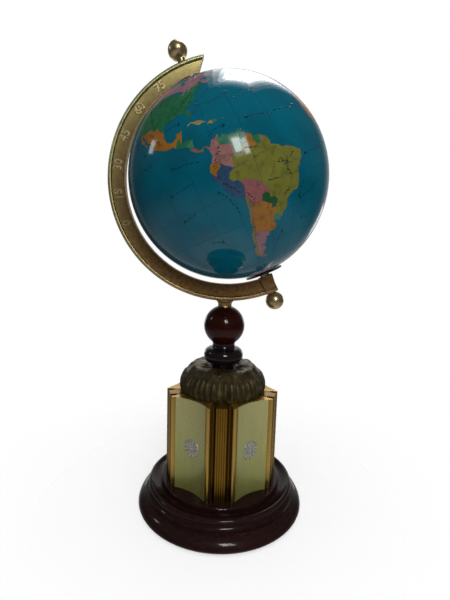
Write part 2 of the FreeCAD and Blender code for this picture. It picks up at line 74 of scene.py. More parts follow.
# ---------------------------------------------------------------- the map's outlines
# Coasts of the lands, closed outlines.
COASTS = {
    "Americas": """
        -77.4,8.7 -76.8,8 -75.6,10.5 -74.8,11.1 -73.2,11.4 -71.7,12.4 -71.3,11.2 -71.7,10.5 -70.2,11.6
        -69.9,12.2 -68.5,11.2 -66,10.5 -64.3,10.2 -61.9,10.7 -61,9.2 -59.8,8.3 -57.2,6 -55,5.95 -54,5.8
        -52,4.6 -51.2,4.2 -50,1.8 -50.2,0.2 -48.6,-0.3 -47.5,-0.7 -44.3,-2.6 -41.5,-2.9 -38.5,-3.7
        -36.8,-4.9 -35.3,-5.3 -34.8,-7.2 -35.2,-9.2 -37,-11.2 -38.5,-13 -39,-15.5 -39.2,-17.9 -40.2,-20.3
        -41,-22 -42,-23 -44.5,-23.2 -46.5,-24.2 -48.5,-25.8 -48.7,-28.3 -50.2,-30.2 -52.2,-32.2 -53.6,-34
        -55,-34.9 -57.9,-34.4 -58.4,-34.2 -57.3,-35.6 -56.8,-36.8 -58.3,-38.4 -62.1,-38.9 -62.3,-40.8
        -65,-41 -64.3,-42.5 -65.3,-44 -67.4,-46 -65.8,-47.6 -67.7,-49.5 -69,-51 -68.4,-52.4 -68,-53.5
        -65.2,-54.7 -67.5,-55.6 -71,-54.6 -73.5,-52.8 -75.3,-51 -75.3,-48.5 -75,-46.8 -73.5,-45.5 -73,-44
        -74,-42 -73.6,-39.5 -73.4,-37.2 -71.9,-34.5 -71.5,-32 -71.5,-29.5 -70.6,-26 -70.4,-23 -70.2,-20
        -70.4,-18.4 -72.5,-17 -75.8,-14.9 -76.4,-13.5 -77.2,-12 -78.7,-9 -79.9,-7 -81.2,-6 -81.3,-4.4
        -80.3,-3.4 -79.9,-2.5 -81,-2.2 -80.5,-0.8 -80,0.6 -78.8,1.5 -78.2,2.7 -77.3,3.9 -77.5,5.5
        -77.9,7.2 -78.5,8.8 -79.5,8.9 -80.3,7.4 -81.2,7.7 -82.9,8.2 -83.6,8.5 -84.8,9.7 -85.8,10.3
        -85.8,11.2 -87.5,12.9 -89.5,13.4 -91.5,14 -93.9,16 -96.5,15.7 -99.8,16.8 -102,18 -104.4,19.1
        -105.6,20.4 -105.4,21.7 -107.5,24.5 -109.4,25.9 -111.2,28 -112.8,30.3 -114.6,31.7 -114.6,30.2
        -112.8,28.2 -111.3,26 -109.5,23.1 -112.1,24.8 -112.3,26.2 -114.9,27.8 -115.8,30.2 -117.1,32.5
        -118.5,34 -120.6,34.6 -121.9,36.6 -123.7,39 -124.3,40.4 -124.1,43.5 -124.6,48.3 -122.8,48.9
        -127.5,51 -130.3,54.5 -134,58.2 -137.5,58.8 -139.8,59.6 -144.5,60 -148,60 -151.5,59.3 -151.8,61
        -154,59 -157.5,56.5 -161.5,55.2 -164.5,54.6 -161,56 -157.5,58.7 -162,58.7 -165,60.8 -164.8,62.8
        -161.2,64.4 -166.2,64.6 -168,65.6 -162.5,66.4 -166.5,68.3 -163,69.8 -156.6,71.3 -150,70.5
        -141,69.7 -135,69.2 -128,70.2 -124.5,69.8 -115,68.5 -108.5,68.3 -101,67.8 -96,68.3 -93.5,71.8
        -90.5,69 -87.5,67.5 -85.5,69.5 -81.5,68.5 -82,66.8 -86.5,66 -87,64.5 -90.5,63.3 -94,61 -94.7,58.8
        -92.5,57 -88,56.5 -82.3,55.2 -82.2,52.8 -80,51.2 -78.8,52.5 -79.5,54.8 -76.6,57.2 -78.3,59.5
        -77.7,62.4 -73.5,62.3 -69.8,61 -69.5,58.8 -65.5,58.8 -64.5,60.3 -61.8,57.5 -57.5,54.5 -55.8,52.5
        -60,50.2 -66.5,50.2 -69.5,47.8 -65,49.2 -64.8,46.8 -61.5,45.8 -63.5,44.6 -66,43.6 -66.8,45
        -70,43.7 -70.7,42.2 -70,41.7 -73.8,40.7 -74.5,39.4 -75.8,37.2 -75.5,35.2 -78,33.9 -81,32 -81.4,30
        -80.1,27 -80.4,25.2 -81.8,26 -82.8,28 -84.2,30 -88,30.3 -89.3,29.2 -91.5,29.5 -94.5,29.5
        -97.2,27.8 -97.3,25.5 -97.8,22.5 -96.2,19.3 -94.5,18.2 -92,18.6 -90.5,19.8 -90.3,21 -87,21.5
        -87.6,19 -88.3,16.8 -88.6,15.8 -86,15.9 -83.2,15 -83.6,12.5 -83.7,10.9 -82.2,9.2 -80.8,8.9
        -79.6,9.6 -78,9.3""",
    "Greenland": """
        -44,60 -48.5,61.2 -52,64.5 -53.8,67.5 -51.5,69.8 -54.5,72 -58.5,75.5 -68,76.3 -72,78.3 -65,80.5
        -55,82.3 -35,83.6 -22,82.2 -18,80 -20,76 -21.5,72 -26,70 -32,68 -40,65.2 -42.5,61.5""",
    "Baffin": """
        -65,61.8 -71,63.5 -74,64.8 -78,65.2 -73,68 -80,69.8 -89,70.8 -89,73.5 -81,73.8 -76,72.7 -68,70
        -62,67 -66,64.5""",
    "Victoria": "-115,69.2 -105,69.2 -105,73 -117,73",
    "Ellesmere": "-88,76.5 -78,76.5 -75,79.5 -62,82.6 -78,83.1 -92,81.5",
    "Banks": "-125,71.5 -120,71.5 -117.5,74 -124,74.2",
    "Devon": "-92,74.8 -80,74.8 -80,75.8 -92,76.6",
    "Newfoundland": "-59.2,47.8 -53,46.8 -53,48.5 -55.8,51.5 -57.5,50",
    "Cuba": "-84.9,21.9 -82.5,23.1 -79,22.6 -75.7,21.1 -74.2,20.2 -77.6,19.9 -80.5,21.8 -82,22.5",
    "Hispaniola": "-74.4,18.4 -72.8,19.9 -70,19.8 -68.4,18.6 -71.2,17.8 -72.5,18.3",
    "Jamaica": "-78.3,18.3 -76.3,18.1 -77.2,17.8",
    "Puerto_Rico": "-67.2,18.4 -65.7,18.3 -66.8,18",
    "Trinidad": "-61.5,10.8 -60.9,10.8 -61,10.1 -61.6,10.1",
    "Africa_and_Eurasia": """
        -5.9,35.8 -2,35.2 3,36.9 10.2,37.2 11,35 10.2,34 15.2,32.3 19.8,30.4 20.3,32.6 25,31.7 29.5,31
        32.3,31.2 34.2,31.3 35.9,35 36,36.8 30.7,36.8 27.4,36.8 26.2,39.4 26.3,40.8 23.8,40.6 23,39 24,38
        22.8,36.5 21.2,37.8 19.4,41 19.2,42 15.3,44.3 13.7,45.6 12.3,45.3 12.5,44 14,42.4 16.1,41.8
        18.5,40.1 17,40.4 16.9,39 15.8,37.9 15.6,40 12.3,41.7 10.3,43.5 8.8,44.4 6.5,43.1 3.3,43.3
        3.2,41.9 0.5,40.6 -0.2,38.7 -2,36.8 -5.5,36.1 -6.4,36.9 -9,37 -9.4,38.7 -8.8,43.2 -1.8,43.4
        -1.2,46 -4.6,48.4 -1.5,49.5 1.7,50.9 4.5,52.5 7,53.6 8.6,53.9 8.2,56.8 10.5,57.7 10.2,54.8 14,54
        18.7,54.6 21,55.3 21.5,57.5 24.2,57.2 23.5,59.2 30,59.8 28,60.6 22.8,60 21.4,62.5 25.3,65
        22.2,65.8 17.3,61.5 18.8,60 16.5,57 14.3,55.5 12.9,55.6 11.3,59 8,58.1 5.3,59 5,62 11,64.8 14.8,68
        19.5,70 25.8,71.1 31,70.3 40.5,67.8 41,66.6 34,66.6 38,64.4 44,66.1 44.2,68.3 54,68.3 60.5,69
        68.5,68.8 67,71 69.5,73 73,71.5 72.5,68 76,68.5 75,72.5 81,73.6 87,75.2 98,76.2 104.3,77.7 113,74
        127,72.8 131,70.9 140,72.5 152,70.9 161,69.6 170.5,69.8 180,68.9 190.2,66.1 185,64.4 179.3,62.5
        170,60 163.3,59.5 162,56 156.8,51 155.8,56 160,60 154.5,59.4 143,59.3 135.3,54.7 141.2,52.5
        140.5,48 135.5,44 130.8,42.5 127.6,39.5 129.4,36.5 126.5,34.4 126.6,37 124.5,39.8 121.2,38.8
        121.5,40.8 118,39 122.4,37 119.3,34.9 121.9,31.5 120.2,27 117,23.6 110.5,21.2 108,21.6 105.7,19
        109,13 106.8,10.3 105,8.7 104.8,10.5 100.9,12.8 99.3,9.3 102.2,6.2 104.2,1.4 101.3,2.9 100.3,6
        98.2,8.5 98.7,12 97.5,16.5 94.3,16 94.5,18.5 91.8,22.4 88.5,21.7 86.8,20.8 82.3,16.7 80.2,15.2
        79.9,10.5 77.6,8.1 76.2,10.5 74.5,14.8 72.8,19 72.6,21.3 69,22.3 67,24.7 61.5,25.1 57.2,25.8
        56.4,27 51.5,27.8 48.8,30.3 48,29.8 50.2,26.5 51.7,24.3 56.2,26.2 59.8,22.5 57.7,18.9 52.2,15.7
        45,12.8 43.4,12.7 42.7,16.5 39,21.2 35,28 34.9,29.5 34.3,27.9 32.6,29.9 34.2,27.5 35.5,24
        37.2,20.5 39.3,15.8 43.2,12.2 44.5,10.5 51.2,11.9 50.8,9.5 48,4.5 43,-0.8 39.5,-4.5 39.2,-8.5
        40.7,-14.5 37.5,-17.5 34.8,-20 35.4,-23.8 32.8,-26 32.5,-28.5 30.3,-31 27,-33.7 22.5,-34
        18.5,-34.3 17.9,-31.5 15.2,-27 14.4,-22.5 11.8,-17.5 13.5,-12.5 12.5,-6 9.2,-1.5 9.6,2 8.5,4.5
        5.2,5.6 1.2,6 -3.5,5 -7.5,4.4 -11.4,6.8 -13.2,9 -15.5,11.5 -16.8,13.8 -17.4,14.8 -16.3,18.5 -17,21
        -14.5,26 -10.2,29.3 -9.5,31.8 -6.8,34""",
    "Madagascar": "49.2,-12.1 50.4,-15.5 47.2,-24.9 45,-25.5 43.4,-22 44.4,-16.5 47.5,-15",
    "Britain": """
        -5.5,50.1 1.3,51.2 1.7,52.8 -0.2,54 -2,57.6 -5,58.6 -5.5,56 -3.2,54.8 -4.5,53.2 -5.2,51.8 -3,51.4""",
    "Ireland": "-10,51.7 -6.4,52.2 -6,54.5 -8.3,55.2 -10,54",
    "Iceland": "-24,65.5 -22.5,64 -18.7,63.4 -14,64.8 -16,66.5 -20.3,66 -22.5,66.4",
    "Svalbard": "12,79.5 16,76.7 21,78.5 27,80 18,80.3",
    "Novaya_Zemlya": "52,71.5 56,70.7 60,74 68.5,76.8 60,76 54,73.3",
    "Sicily": "12.5,37.7 15,38 15.1,36.7",
    "Sardinia": "8.3,39 9.6,39.2 9.4,43 8.5,42",
    "Honshu": """
        130,32 131.5,31.4 132.5,33.8 135.8,33.5 140.5,35.3 142,39.5 141,41.2 139.8,39 136.8,37 133,35.5
        130.8,34""",
    "Hokkaido": "140,42.1 143.3,42 145.5,43.3 141.8,45.4",
    "Sakhalin": "142,46 143.5,49.5 143,54 142.3,51",
    "Taiwan": "120.2,23 121.9,25 120.9,22",
    "Hainan": "108.7,19.2 110.9,20 109.5,18.2",
    "Sri_Lanka": "79.9,8.1 81.8,7.5 80.3,6",
    "Luzon": "120.3,16 120.8,18.5 122.2,18.4 121.5,15 124,12.6 120.7,13.8",
    "Mindanao": "122,7 125.4,9.7 126.3,7 125.4,5.8",
    "Borneo": "109,1.5 111.5,2.5 116.8,7 119,5.2 117.8,1 116.2,-4 111.7,-3.4 110,-1.3",
    "Sumatra": "95.3,5.6 98.5,3.8 103.5,-1 106,-3.5 105.7,-5.8 102,-3.8 98.7,1.6",
    "Java": "105.3,-6.8 108.5,-6.6 114.4,-7.8 114.4,-8.7 108,-7.8",
    "Sulawesi": """
        119.5,-5.5 119,-2.5 120,0.8 125,1.5 121,0.4 121,-1 123.3,-1 121.8,-2 122.7,-4.8 120.9,-2.8
        120.4,-5.6""",
    "New_Guinea": """
        131,-0.8 134,-0.8 135,-3.3 141,-2.6 147.5,-6 150.8,-10.3 146.5,-8.5 143,-9.1 138.5,-8 137.8,-5
        133,-4""",
    "Australia": """
        114.2,-22 113.5,-25.5 115.7,-31.7 115,-34.3 118,-35 123.6,-33.9 129,-31.7 134,-32.8 135.7,-34.9
        138,-33 138.3,-35.6 140.8,-38 144.5,-38.3 147,-39 150,-37.4 151.3,-33.5 153.4,-28.5 152.5,-24.8
        149,-20.5 146,-18.8 145.3,-15 142.6,-10.8 141.5,-13.8 140.8,-17.5 135.5,-15 136.8,-12.2
        132.6,-11.5 129.7,-15 126,-14 122.3,-18 117,-20.7""",
    "Tasmania": "144.7,-40.8 148.3,-40.9 147,-43.6 145.5,-42.7",
    "New_Zealand_north": "172.8,-34.5 175.5,-37 178.5,-37.7 176.8,-40 175.2,-41.6 174,-39.3 174.8,-37",
    "New_Zealand_south": "172.8,-40.6 174.2,-41.8 171,-45.5 168.5,-46.6 166.5,-45.9 170.5,-43",
}
# Inland waters, closed outlines too.
LAKES = {
    "Black_Sea": """
        28,42 29.5,45 31.5,46.5 33.5,44.8 36.5,45.3 38,44.4 41.5,42 38.5,41 35,42 31.5,41.4 29,41.2""",
    "Caspian_Sea": "47,45 53,46.5 52.5,42 54,38 50,37.3 49,41 47.5,43",
    "Lake_Superior": "-92,46.7 -88,48.7 -84.5,47.5 -85,46.7 -88,46.8",
    "Michigan_and_Huron": "-87.5,41.8 -87.5,45 -84.5,46 -80,45.5 -82,43 -83.5,45 -86,44 -86.2,42.2",
    "Erie_and_Ontario": "-83,41.6 -79,43 -76.3,43.4 -76.5,44.1 -79.5,43.7 -81.5,42.5",
    "Lake_Victoria": "31.8,-2.5 31.8,0.2 34,0 33.5,-2.3",
}
# A coast that runs round the whole globe, from one edge of the map to the other.
OPEN_COASTS = {
    "Antarctica": """
        -169.5,-78 -155,-77.5 -135,-74.5 -110,-75 -100,-72.5 -75,-73 -68,-67 -57.5,-63.3 -61,-68 -60,-75
        -40,-78 -25,-75 -10,-71 20,-70 50,-66.5 70,-68.5 90,-66.5 115,-66.8 140,-66.5 165,-70.5 163,-77.5
        185,-78.2 190.5,-78""",
}
# Borders, lines that start and end on a coast or on another border, divided by "|".
BORDERS = {
    "South_America": """
        -77.2,9 -77.9,6.9 | -71.2,12 -72.8,10.5 -72.4,7.5 -70.5,7 -67.5,6.2 -67.8,4 -67,1.2 | -67,1.2
        -65.3,0.8 -64,1.8 -63.8,4 -61,4.5 -60.7,5.2 | -60.7,5.2 -61.2,6.5 -59.5,8.6 | -60.7,5.2 -59.8,2.5
        -58.5,1.4 -56.5,1.9 | -56.5,1.9 -58,4.2 -57,6.3 | -56.5,1.9 -54.6,2.3 | -54.6,2.3 -54.4,4.5
        -53.9,6.1 | -54.6,2.3 -52.5,2.5 -51.4,4.5 | -67,1.2 -69.8,1.7 -69.5,-0.5 -69.9,-4.2 | -69.9,-4.2
        -72.5,-2.4 -75.3,-0.1 | -75.3,-0.1 -77.5,0.4 -79.1,1.7 | -75.3,-0.1 -75.6,-1.5 -78.3,-3.2 -79,-5
        -80.5,-3.3 | -69.9,-4.2 -73,-5.5 -74,-7.5 -72.5,-9.5 -70.5,-9.5 -69.5,-11 | -69.5,-11 -68.8,-12.8
        -69.2,-15.2 -69.5,-17.5 | -69.5,-17.5 -70.4,-18.4 | -69.5,-17.5 -68.4,-19.5 -68,-21.5 -67.2,-22.8
        | -69.5,-11 -66.5,-9.9 -65.3,-11.5 -62,-13 -60.2,-13.8 -60,-16.2 -58.3,-16.3 -57.6,-18.2
        -58.1,-20.1 | -58.1,-20.1 -59.2,-19.3 -61.8,-19.6 -62.6,-22.2 | -62.6,-22.2 -64.5,-22.5
        -66.2,-21.8 -67.2,-22.8 | -58.1,-20.1 -57.8,-22.1 -55.8,-22.3 -54.3,-24 -54.6,-25.5 | -62.6,-22.2
        -60,-24 -57.7,-25.3 -58.5,-27.3 -56,-27.3 -54.6,-25.5 | -54.6,-25.5 -53.7,-26.5 -55.5,-28.2
        -57.6,-30.2 | -57.6,-30.2 -55.5,-31 -53.7,-32.5 -53.3,-34.1 | -57.6,-30.2 -58.1,-32.5 -58.4,-34.2
        | -67.2,-22.8 -68.4,-25 -69.5,-28.5 -70.3,-31.5 -69.9,-34 -71,-37 -71.8,-41 -71.8,-45 -72.5,-48.5
        -72.3,-51 -72,-52 -68.8,-52.2 -68.6,-55.6 | -71,-37 -68,-36.2 -65,-37.6 -61.8,-39""",
    "North_and_Central_America": """
        -82.4,9.8 -83,8 | -83.5,10.9 -85.9,11.1 | -83,15 -86,13.9 -87.7,12.9 | -88.4,15.9 -89.3,14.4
        -87.6,13.3 | -92.4,14.4 -91.6,16.1 -91,17.4 -89.2,17.9 -88,18.4 | -89.2,17.9 -89.2,15.8 -88.5,15.8
        | -117.4,32.5 -114.8,32.6 -111,31.3 -106.5,31.7 -103.2,29 -101.5,29.8 -99.3,26.6 -96.9,25.9 |
        -123.2,49 -95.2,49 -89.5,48 -84.5,46.6 -83,45.8 -82.4,43 -83,42 -79,42.9 -76.5,44.2 -74.8,45
        -71.3,45.1 -69.2,47.4 -67.8,47 -67,44.6 | -141,70.2 -141,60.3 -137,59 -135,59.5 -130,55.9
        -130.5,54.4 | -71.8,20.1 -71.8,17.7""",
    "Africa": """
        -2,35.5 -1.2,32.2 -5.5,29.8 -8.7,27.6 | -13,27.7 -8.7,27.6 -8.7,26 -12,26 -12.9,23.4 -13,21.3
        -17.2,21.3 | -8.7,26 -4.8,25 -6.5,25 -5.5,15.5 -9.3,15.5 -12.2,14.8 | -16.8,16 -14.5,16.6
        -12.2,14.8 | -4.8,25 1.2,21.1 3.2,19.2 11.9,23.5 | 11.9,23.5 9.5,26.5 9.5,30.2 8,34 8.6,37.2 |
        9.5,30.2 11.5,33.4 | 11.9,23.5 15.9,23.4 24,19.6 | 25,32 25,22 36.9,22 | 25,22 24,20 24,19.6
        24,15.7 22.5,12.6 22.9,10.9 | 15.9,23.4 15.5,16.8 13.6,13.7 | 3.2,19.2 4.2,16 0.2,15 -4,13.3
        -5.5,10.4 | -12.2,14.8 -11.4,12.3 -8,11 -8,10.2 -5.5,10.4 | -11.4,12.3 -13.7,12.6 -16.9,12.4 |
        -8,10.2 -8.3,7.6 -10.2,8.5 -13.4,9 | -8.3,7.6 -7.4,4.2 | -5.5,10.4 -2.8,9.7 -2.9,5 | -2.8,9.7
        -0.1,11.1 0.6,9 1.2,5.9 | 3.6,11.7 2.8,9 2.7,5.6 | 0.2,15 2.4,11.9 3.6,11.7 6.8,13.1 13.6,13.7
        14.2,12 12.5,8.6 9.2,6.2 8.5,4.4 | -0.1,11.1 2.4,11.9 | 14.2,12 15.5,10 15.2,7.5 18.5,8.2
        22.9,10.9 | 15.2,7.5 14.5,5 16.2,2.2 13.2,2.3 9.5,2.3 | 16.2,2.2 18.5,4.8 22.5,4.1 27.4,5.1 |
        22.9,10.9 24.2,8.7 27.4,5.1 | 24.2,8.7 27.9,9.6 33.9,9.6 | 18.5,4.8 17.8,0 16,-4 12.9,-5 12.5,-6 |
        13.2,2.3 14.3,-1.8 10.8,-4.1 | 12.5,-6 16.6,-5.9 17.8,-8 21.8,-7.3 22,-11 24,-11 27.5,-12
        29.8,-13.5 29,-12.4 28.5,-9 30.7,-8.3 29.5,-6 29.2,-3 29.6,0 31.2,2.3 30.8,3.6 27.4,5.1 | 30.8,3.6
        34,4.2 35.9,4.6 | 36.5,14.3 34.2,10.5 33,8 35.9,4.6 41.9,4 | 36.9,22 38.5,18 36.5,14.3 40,14.5
        42.5,12.5 | 42.9,11 44,9 47.9,8 45,5 41.9,4 41,-0.8 41.5,-1.9 | 34,4.2 34,-1 37.7,-3.5 39.4,-4.8 |
        34,-1 30.5,-1 29.6,0 | 40.7,-10.5 34.8,-11.6 33,-9.5 30.7,-8.3 | 33,-9.5 33.2,-14 30.3,-15
        30.3,-15.8 32.8,-17 31.3,-22.3 | 24,-11 22,-16.2 23.4,-17.6 25.3,-17.8 27,-17.9 30.3,-15.8 |
        11.6,-17.3 18.5,-17.4 23.4,-17.6 | 21,-18 21,-22 20,-22 20,-28.4 16.1,-28.6 | 25.3,-17.8
        27.7,-20.5 29.4,-22.2 31.3,-22.3 | 20,-24.8 23,-25.3 25.6,-25.6 29.4,-22.2 | 31.3,-22.3 32,-26.8
        33.1,-26.8""",
    "Europe": """
        -9.1,41.9 -6.6,41.5 -7.2,38.5 -7.3,36.8 | -2,43.5 3.4,42.4 | 2.2,51.4 6,49.5 8,49 7.3,47.5
        6.9,45.2 7.6,43.4 | 14.3,54.3 14.9,51 12.3,50.2 13,48.5 9.5,47.5 7.3,47.5 | 6.9,45.2 10.3,46.6
        13.6,46.4 13.5,45.4 | 19.6,54.7 23.7,54 23.6,51.5 22.7,49.2 18.8,49.5 14.9,51 | 8.2,54.9 10.4,54.8
        | 13.6,46.4 16.3,47 22.7,49.2 28.2,48 29.8,45 | 16.3,47 13,48.5 | 22.7,49.2 21,46 22.6,44.3
        28.7,43.7 | 19.3,39.7 21,40.8 26.4,41.7 | 23.6,51.5 31,52 34,52.3 40,49.5 38.3,47 37.4,44.6 |
        27.4,57.5 28,60 | 23.7,54 28,56 27.4,57.5 | 27.8,60.4 31.5,62.8 29.5,66 29,69.5 31,70.6 |
        11.3,58.8 12.2,61.5 14.5,65 18.1,68.5 20.5,69.1 24.1,65.1 | 26.2,42 26.5,40.6""",
    "Asia": """
        41.2,41.7 44.8,39.7 44.3,37.2 36.2,36.3 35.8,36.2 | 38.8,43.7 42,43.3 47.8,41.8 48.9,41.6 |
        44.8,39.7 48.8,38.4 50,38.4 | 44.3,37.2 46,35 47.8,31 48.5,29.8 | 48.6,28.6 46.5,29.1 42,31.1
        39,32 36,29.3 34.8,29.4 | 42.3,37.2 41,34.4 39,32 | 35.4,32.7 39,32 | 42.4,16.4 46,17.2 52,19
        53.3,16 | 52,19 55,20 56,24.2 56.4,26 | 53.2,37.4 57.5,38 61.2,36.6 60.9,31.5 63.3,27 61.5,25 |
        61,29.6 66.3,29.8 69.5,33 71.5,36.2 74.8,37 | 61.2,36.6 66.5,37.4 71.5,38 74.8,37 | 49,45.6 47,49
        51,51.5 59,51 61,54 70,55.2 77,53.8 80,51 87.3,49.2 | 52.3,41.8 56,41.3 56,45 61,44.3 66,42 69,41
        71,42.7 80,42.2 80.3,45 83,47 87.3,49.2 | 56,41.3 62,40 66.5,37.4 | 87.3,49.2 91,45.2 96.5,42.7
        105,41.6 111.9,45 116,46.3 119.8,46.7 116.5,49.8 | 87.3,49.2 92,50.7 98,50.2 98.5,52 107,49.8
        116.5,49.8 | 116.5,49.8 120.5,53.3 126,52.7 130.9,47.8 135,48.4 131.2,44.9 130.9,42 | 124.3,39.3
        128,42 130.7,42.3 | 126.2,37.7 128.8,38.6 | 74.8,37 78.5,33 81,30.2 88,27.9 92,27.7 97.3,28.2 |
        74.8,37 74.5,32.5 70,27.8 71,24.5 68,23.1 | 97.3,28.2 94.5,25 93,22 92,20.8 | 88.2,21.2 88.3,25.8
        92,25 92.3,21 | 97.3,28.2 98.5,25 101,21.7 105,23.2 108,21.3 | 101,21.7 100.1,20.4 97.8,18 98.8,15
        99.3,11.8 98.2,9.9 | 100.1,20.4 101.2,17.8 104.5,17.5 105.5,14.4 102.5,13.6 102.6,11.2 |
        102.2,22.4 104,20 107.5,15 107.6,12.5 104.2,10.2 | 99.9,6.5 102.4,6.3 | 109,1.9 112,1.4 115.5,3
        118.2,4.2 | 141,-2.4 141,-9.2""",
    "Oceania": """
        129,-13.8 129,-32 | 129,-26 141,-26 | 138,-15.3 138,-26 | 141,-26 141,-38.2 | 141,-29 149,-29
        153.6,-28.2 | 141,-34 146,-36 150.3,-37.6""",
}
# One point in each sea and lake.
WATERS = "-30,0 34,43 51,40 -88,47.3 -87,43.5 -82,44.6 -79.2,43.4 33,-1"
# Which colour a country is printed in: one point inside each.
COUNTRIES = {
    "pink": """
        -105,56 -70,68 -110,71 -84,79 -122,73 -86,75.5 -56,49 105,35 2.5,28 -68.5,-45 25,-28 121,16 102,15
        32,1 140.5,37.5 143,43.7""",
    "dusty_pink": "-73,4 47,24 80,22 -11,21 46,-20 120.3,-4 45,32 22,-22 -3,8 97,35.5",
    "green": "-98,39 -152,65 -56,4 -3,40 133,-24 23,-3 33,64 34,39 96,21 30,15 8,9.5 -86.5,14.5 24,51.8",
    "teal": "-66,7.5 -56,-33 53,33 -70,19 10,51 18,-12 -8,16.5 113,0 100.5,0.5 -84.8,13 17,28 36,-6.3",
    "steel_blue": "-76,-9.5 -90.5,15.5 -2.5,53 3,47 67,48 30,26 -7.5,53.5 43,8 69,29.5 -5,33 35,-16 106,13",
    "olive": """
        -52,-10 138,-19 148,-31 10,17.5 24,-14.5 105,60 35,50 108,-7.6 127,40.2 104,48 14,41.8 9,40.5""",
    "rose": "-64.5,-17 12.5,42.5 23,15 85,28.3 145,-37 15,62 -84.3,10.2 8,8.5 44,65 36,1 142.8,50",
    "dark_green": "-58.5,-23 15,0 -77.8,18.1 -13,14 137,-4.5 121.3,24 21,46.8 128,36.5 15,47.5",
    "tan": "-70.9,-33.5 -53,4 19,15 55,22 66,33 122,-26 20,52.2 28,4 -82,8.3 -66.8,18.25 25,-19.5 143,-6",
    "orange": "-102,24 -59,5 -78.5,-1.5 -65,-30 46,44.5 12,23 60,62 108,22.8 26,63 124,7.5 35,24.5 31,-25",
    "yellow": """
        -79,21.8 -61.2,10.5 38,28 -5,12 47,-5 -72.9,19 80.7,7.3 147,-42 175.5,-39 170,-44 109.8,19.3 62,39""",
    "ice": "-40,72 18,79 58,74 -19,65 0,-80",
}
# Rivers, mountain ranges and sea currents, lines divided by "|"; then cities, as points.
RIVERS = """
    -74,-4.5 -70,-3.9 -65,-3.2 -60,-3.2 -55,-2.2 -51,-1 | -58,-33 -60.5,-31 -59,-27.5 -54.5,-25 -51,-20.5
    | -47,-15 -44,-11 -40,-9 -37,-10.3 | -95,47 -91,43 -90,38 -91,33 -90,29.6 | -112,46 -101,47 -96,42
    -90.5,38.5 | -66,8 -63,7.8 -62,8.6 | 32.8,0 31.5,6 32.5,15 33,20 31,26 31,30.5 | 12.5,-6 17,-1 24,2
    27,-3 26,-9 | -8,10 -3,16.5 3,14 6.5,5 | 96,33 104,29 112,30 121,31.6 | 104,36 111,40 110,35 118,37.5
    | 81,31 92,27.5 90,23 | 32,57 46,55 45,48.6 48,46 | 83,50 77,59 69,61 69,67 | 96,52 92,60 87,66 83,71
    | 105,54 120,61 127,65 127,71.5 | -124,62 -130,66 -135,68.5 | 139,-35 145,-31 148,-27"""
RANGES = """
    -72,8 -76,3 -78,-1.5 | -78.5,-5 -76,-10 -71.5,-14.5 | -68.5,-16 -66,-20 -67.5,-24 | -70,-29 -70.3,-34
    -71,-38 | -47,-7 -45.5,-12 -43.5,-17 | -41.5,-8 -40,-6 | -56,-14.5 -51.5,-15.5 | -46,-21.5 -50,-23.5 |
    -62,2.3 -56.5,0.5 | -112,52 -108,41 -105,34 | -107,29 -100,20 | -84,35 -76,41 | 72,38 78,35 88,29
    95,29 | 7,46 12,47 | 60,65 59,54 | 8,23 6,24 | 38,9 36,2 | 20,-31 28,-29 | 147,-36 151,-30 | 95,49
    103,52 | 44,41 48,42.5"""
CURRENTS = """
    -79,27 -75,33 -66,38 -52,42 -38,46 -24,50 | -24,17 -36,15 -48,14.5 -57,15 | -58,27 -50,29 -42,30 |
    -6,-4 -16,-6 -26,-7 -33,-8 | -36,-20 -41,-27 | -60,-52 -56,-46 -53,-41 | -70,29 -64,31 -58,32 |
    -75,-24 -77,-17 -81,-11 | -90,-3 -97,-4 -104,-4 | -84,4 -91,6 -98,7 | -96,-16 -104,-17 | -97,-33
    -90,-35 | -50,-8 -44,-10 | -25,-22 -32,-26 -40,-28 | -15,-35 -27,-38 -38,-38 | -130,46 -126,36 -119,27
    -112,20 | -108,14 -122,13 -140,12 | 126,22 133,30 143,35 158,38 176,40 | -76,13 -72,15 -67,15 | -95,25
    -91,26 -87,25 | -40,38 -32,36 -25,31 | 42,-18 37,-27 29,-34 20,-38 | 14,-32 10,-24 6,-14 | -14,40
    -18,30 -19,20 | 111,-33 108,-24 104,-17 | 98,-12 82,-12 64,-13 | 150,-18 155,-27 155,-36 | 70,2 80,3
    90,2 | 20,-47 50,-48 80,-47 | 110,-48 140,-52 170,-56 | -170,-56 -140,-57 -112,-57"""
CITIES = """
    -99,19.4 -74,4.7 -66.9,10.4 -78.5,-0.2 -77,-12 -68.1,-16.5 -47.9,-15.8 -43.3,-22.8 -46.6,-23.5
    -57.6,-25.3 -58.5,-34.6 -56.2,-34.8 -70.7,-33.4 -60,-3.1 -38.5,-12.8 -35,-8.1 -48.4,-1.5 -60,-19
    -69,-52 -77,38.9 -74,41 -87.7,41.9 -118,34.1 -122.3,37.8 -95.4,29.8 -80.2,25.9 -123,49.3 -75.7,45.4
    -106,52 -90.5,14.6 -79.5,9 -82.4,23 2.3,48.9 -0.1,51.5 -3.7,40.4 12.5,41.9 13.4,52.5 21,52.2 37.6,55.8
    30.3,59.7 31.2,30 3.4,6.6 36.8,-1.3 28,-26.2 18.5,-33.8 46.7,24.6 51.4,35.7 77.2,28.6 72.9,19.1
    88.4,22.6 100.5,13.8 116.4,39.9 121.4,31.2 114.2,22.5 127,37.5 139.7,35.7 106.8,-6.3 151.1,-33.8
    115.9,-32 133.9,-23.7 149.1,-35.3"""

SPARE_COLOURS = ("pink", "tan", "green", "yellow", "steel_blue", "orange", "teal", "rose", "olive")
SMALLEST_LAND = 0.5                      # in square degrees; a smaller loop is open water
WEST_EDGE, EAST_EDGE = -169.5, 190.5     # the map's own edges, in open sea
EDGE_LAT = 85.4                          # latitude of the holes for the pole bushes
GRID_STEP = 4.0
FRONT_LON = -71.0                        # longitude that faces the front
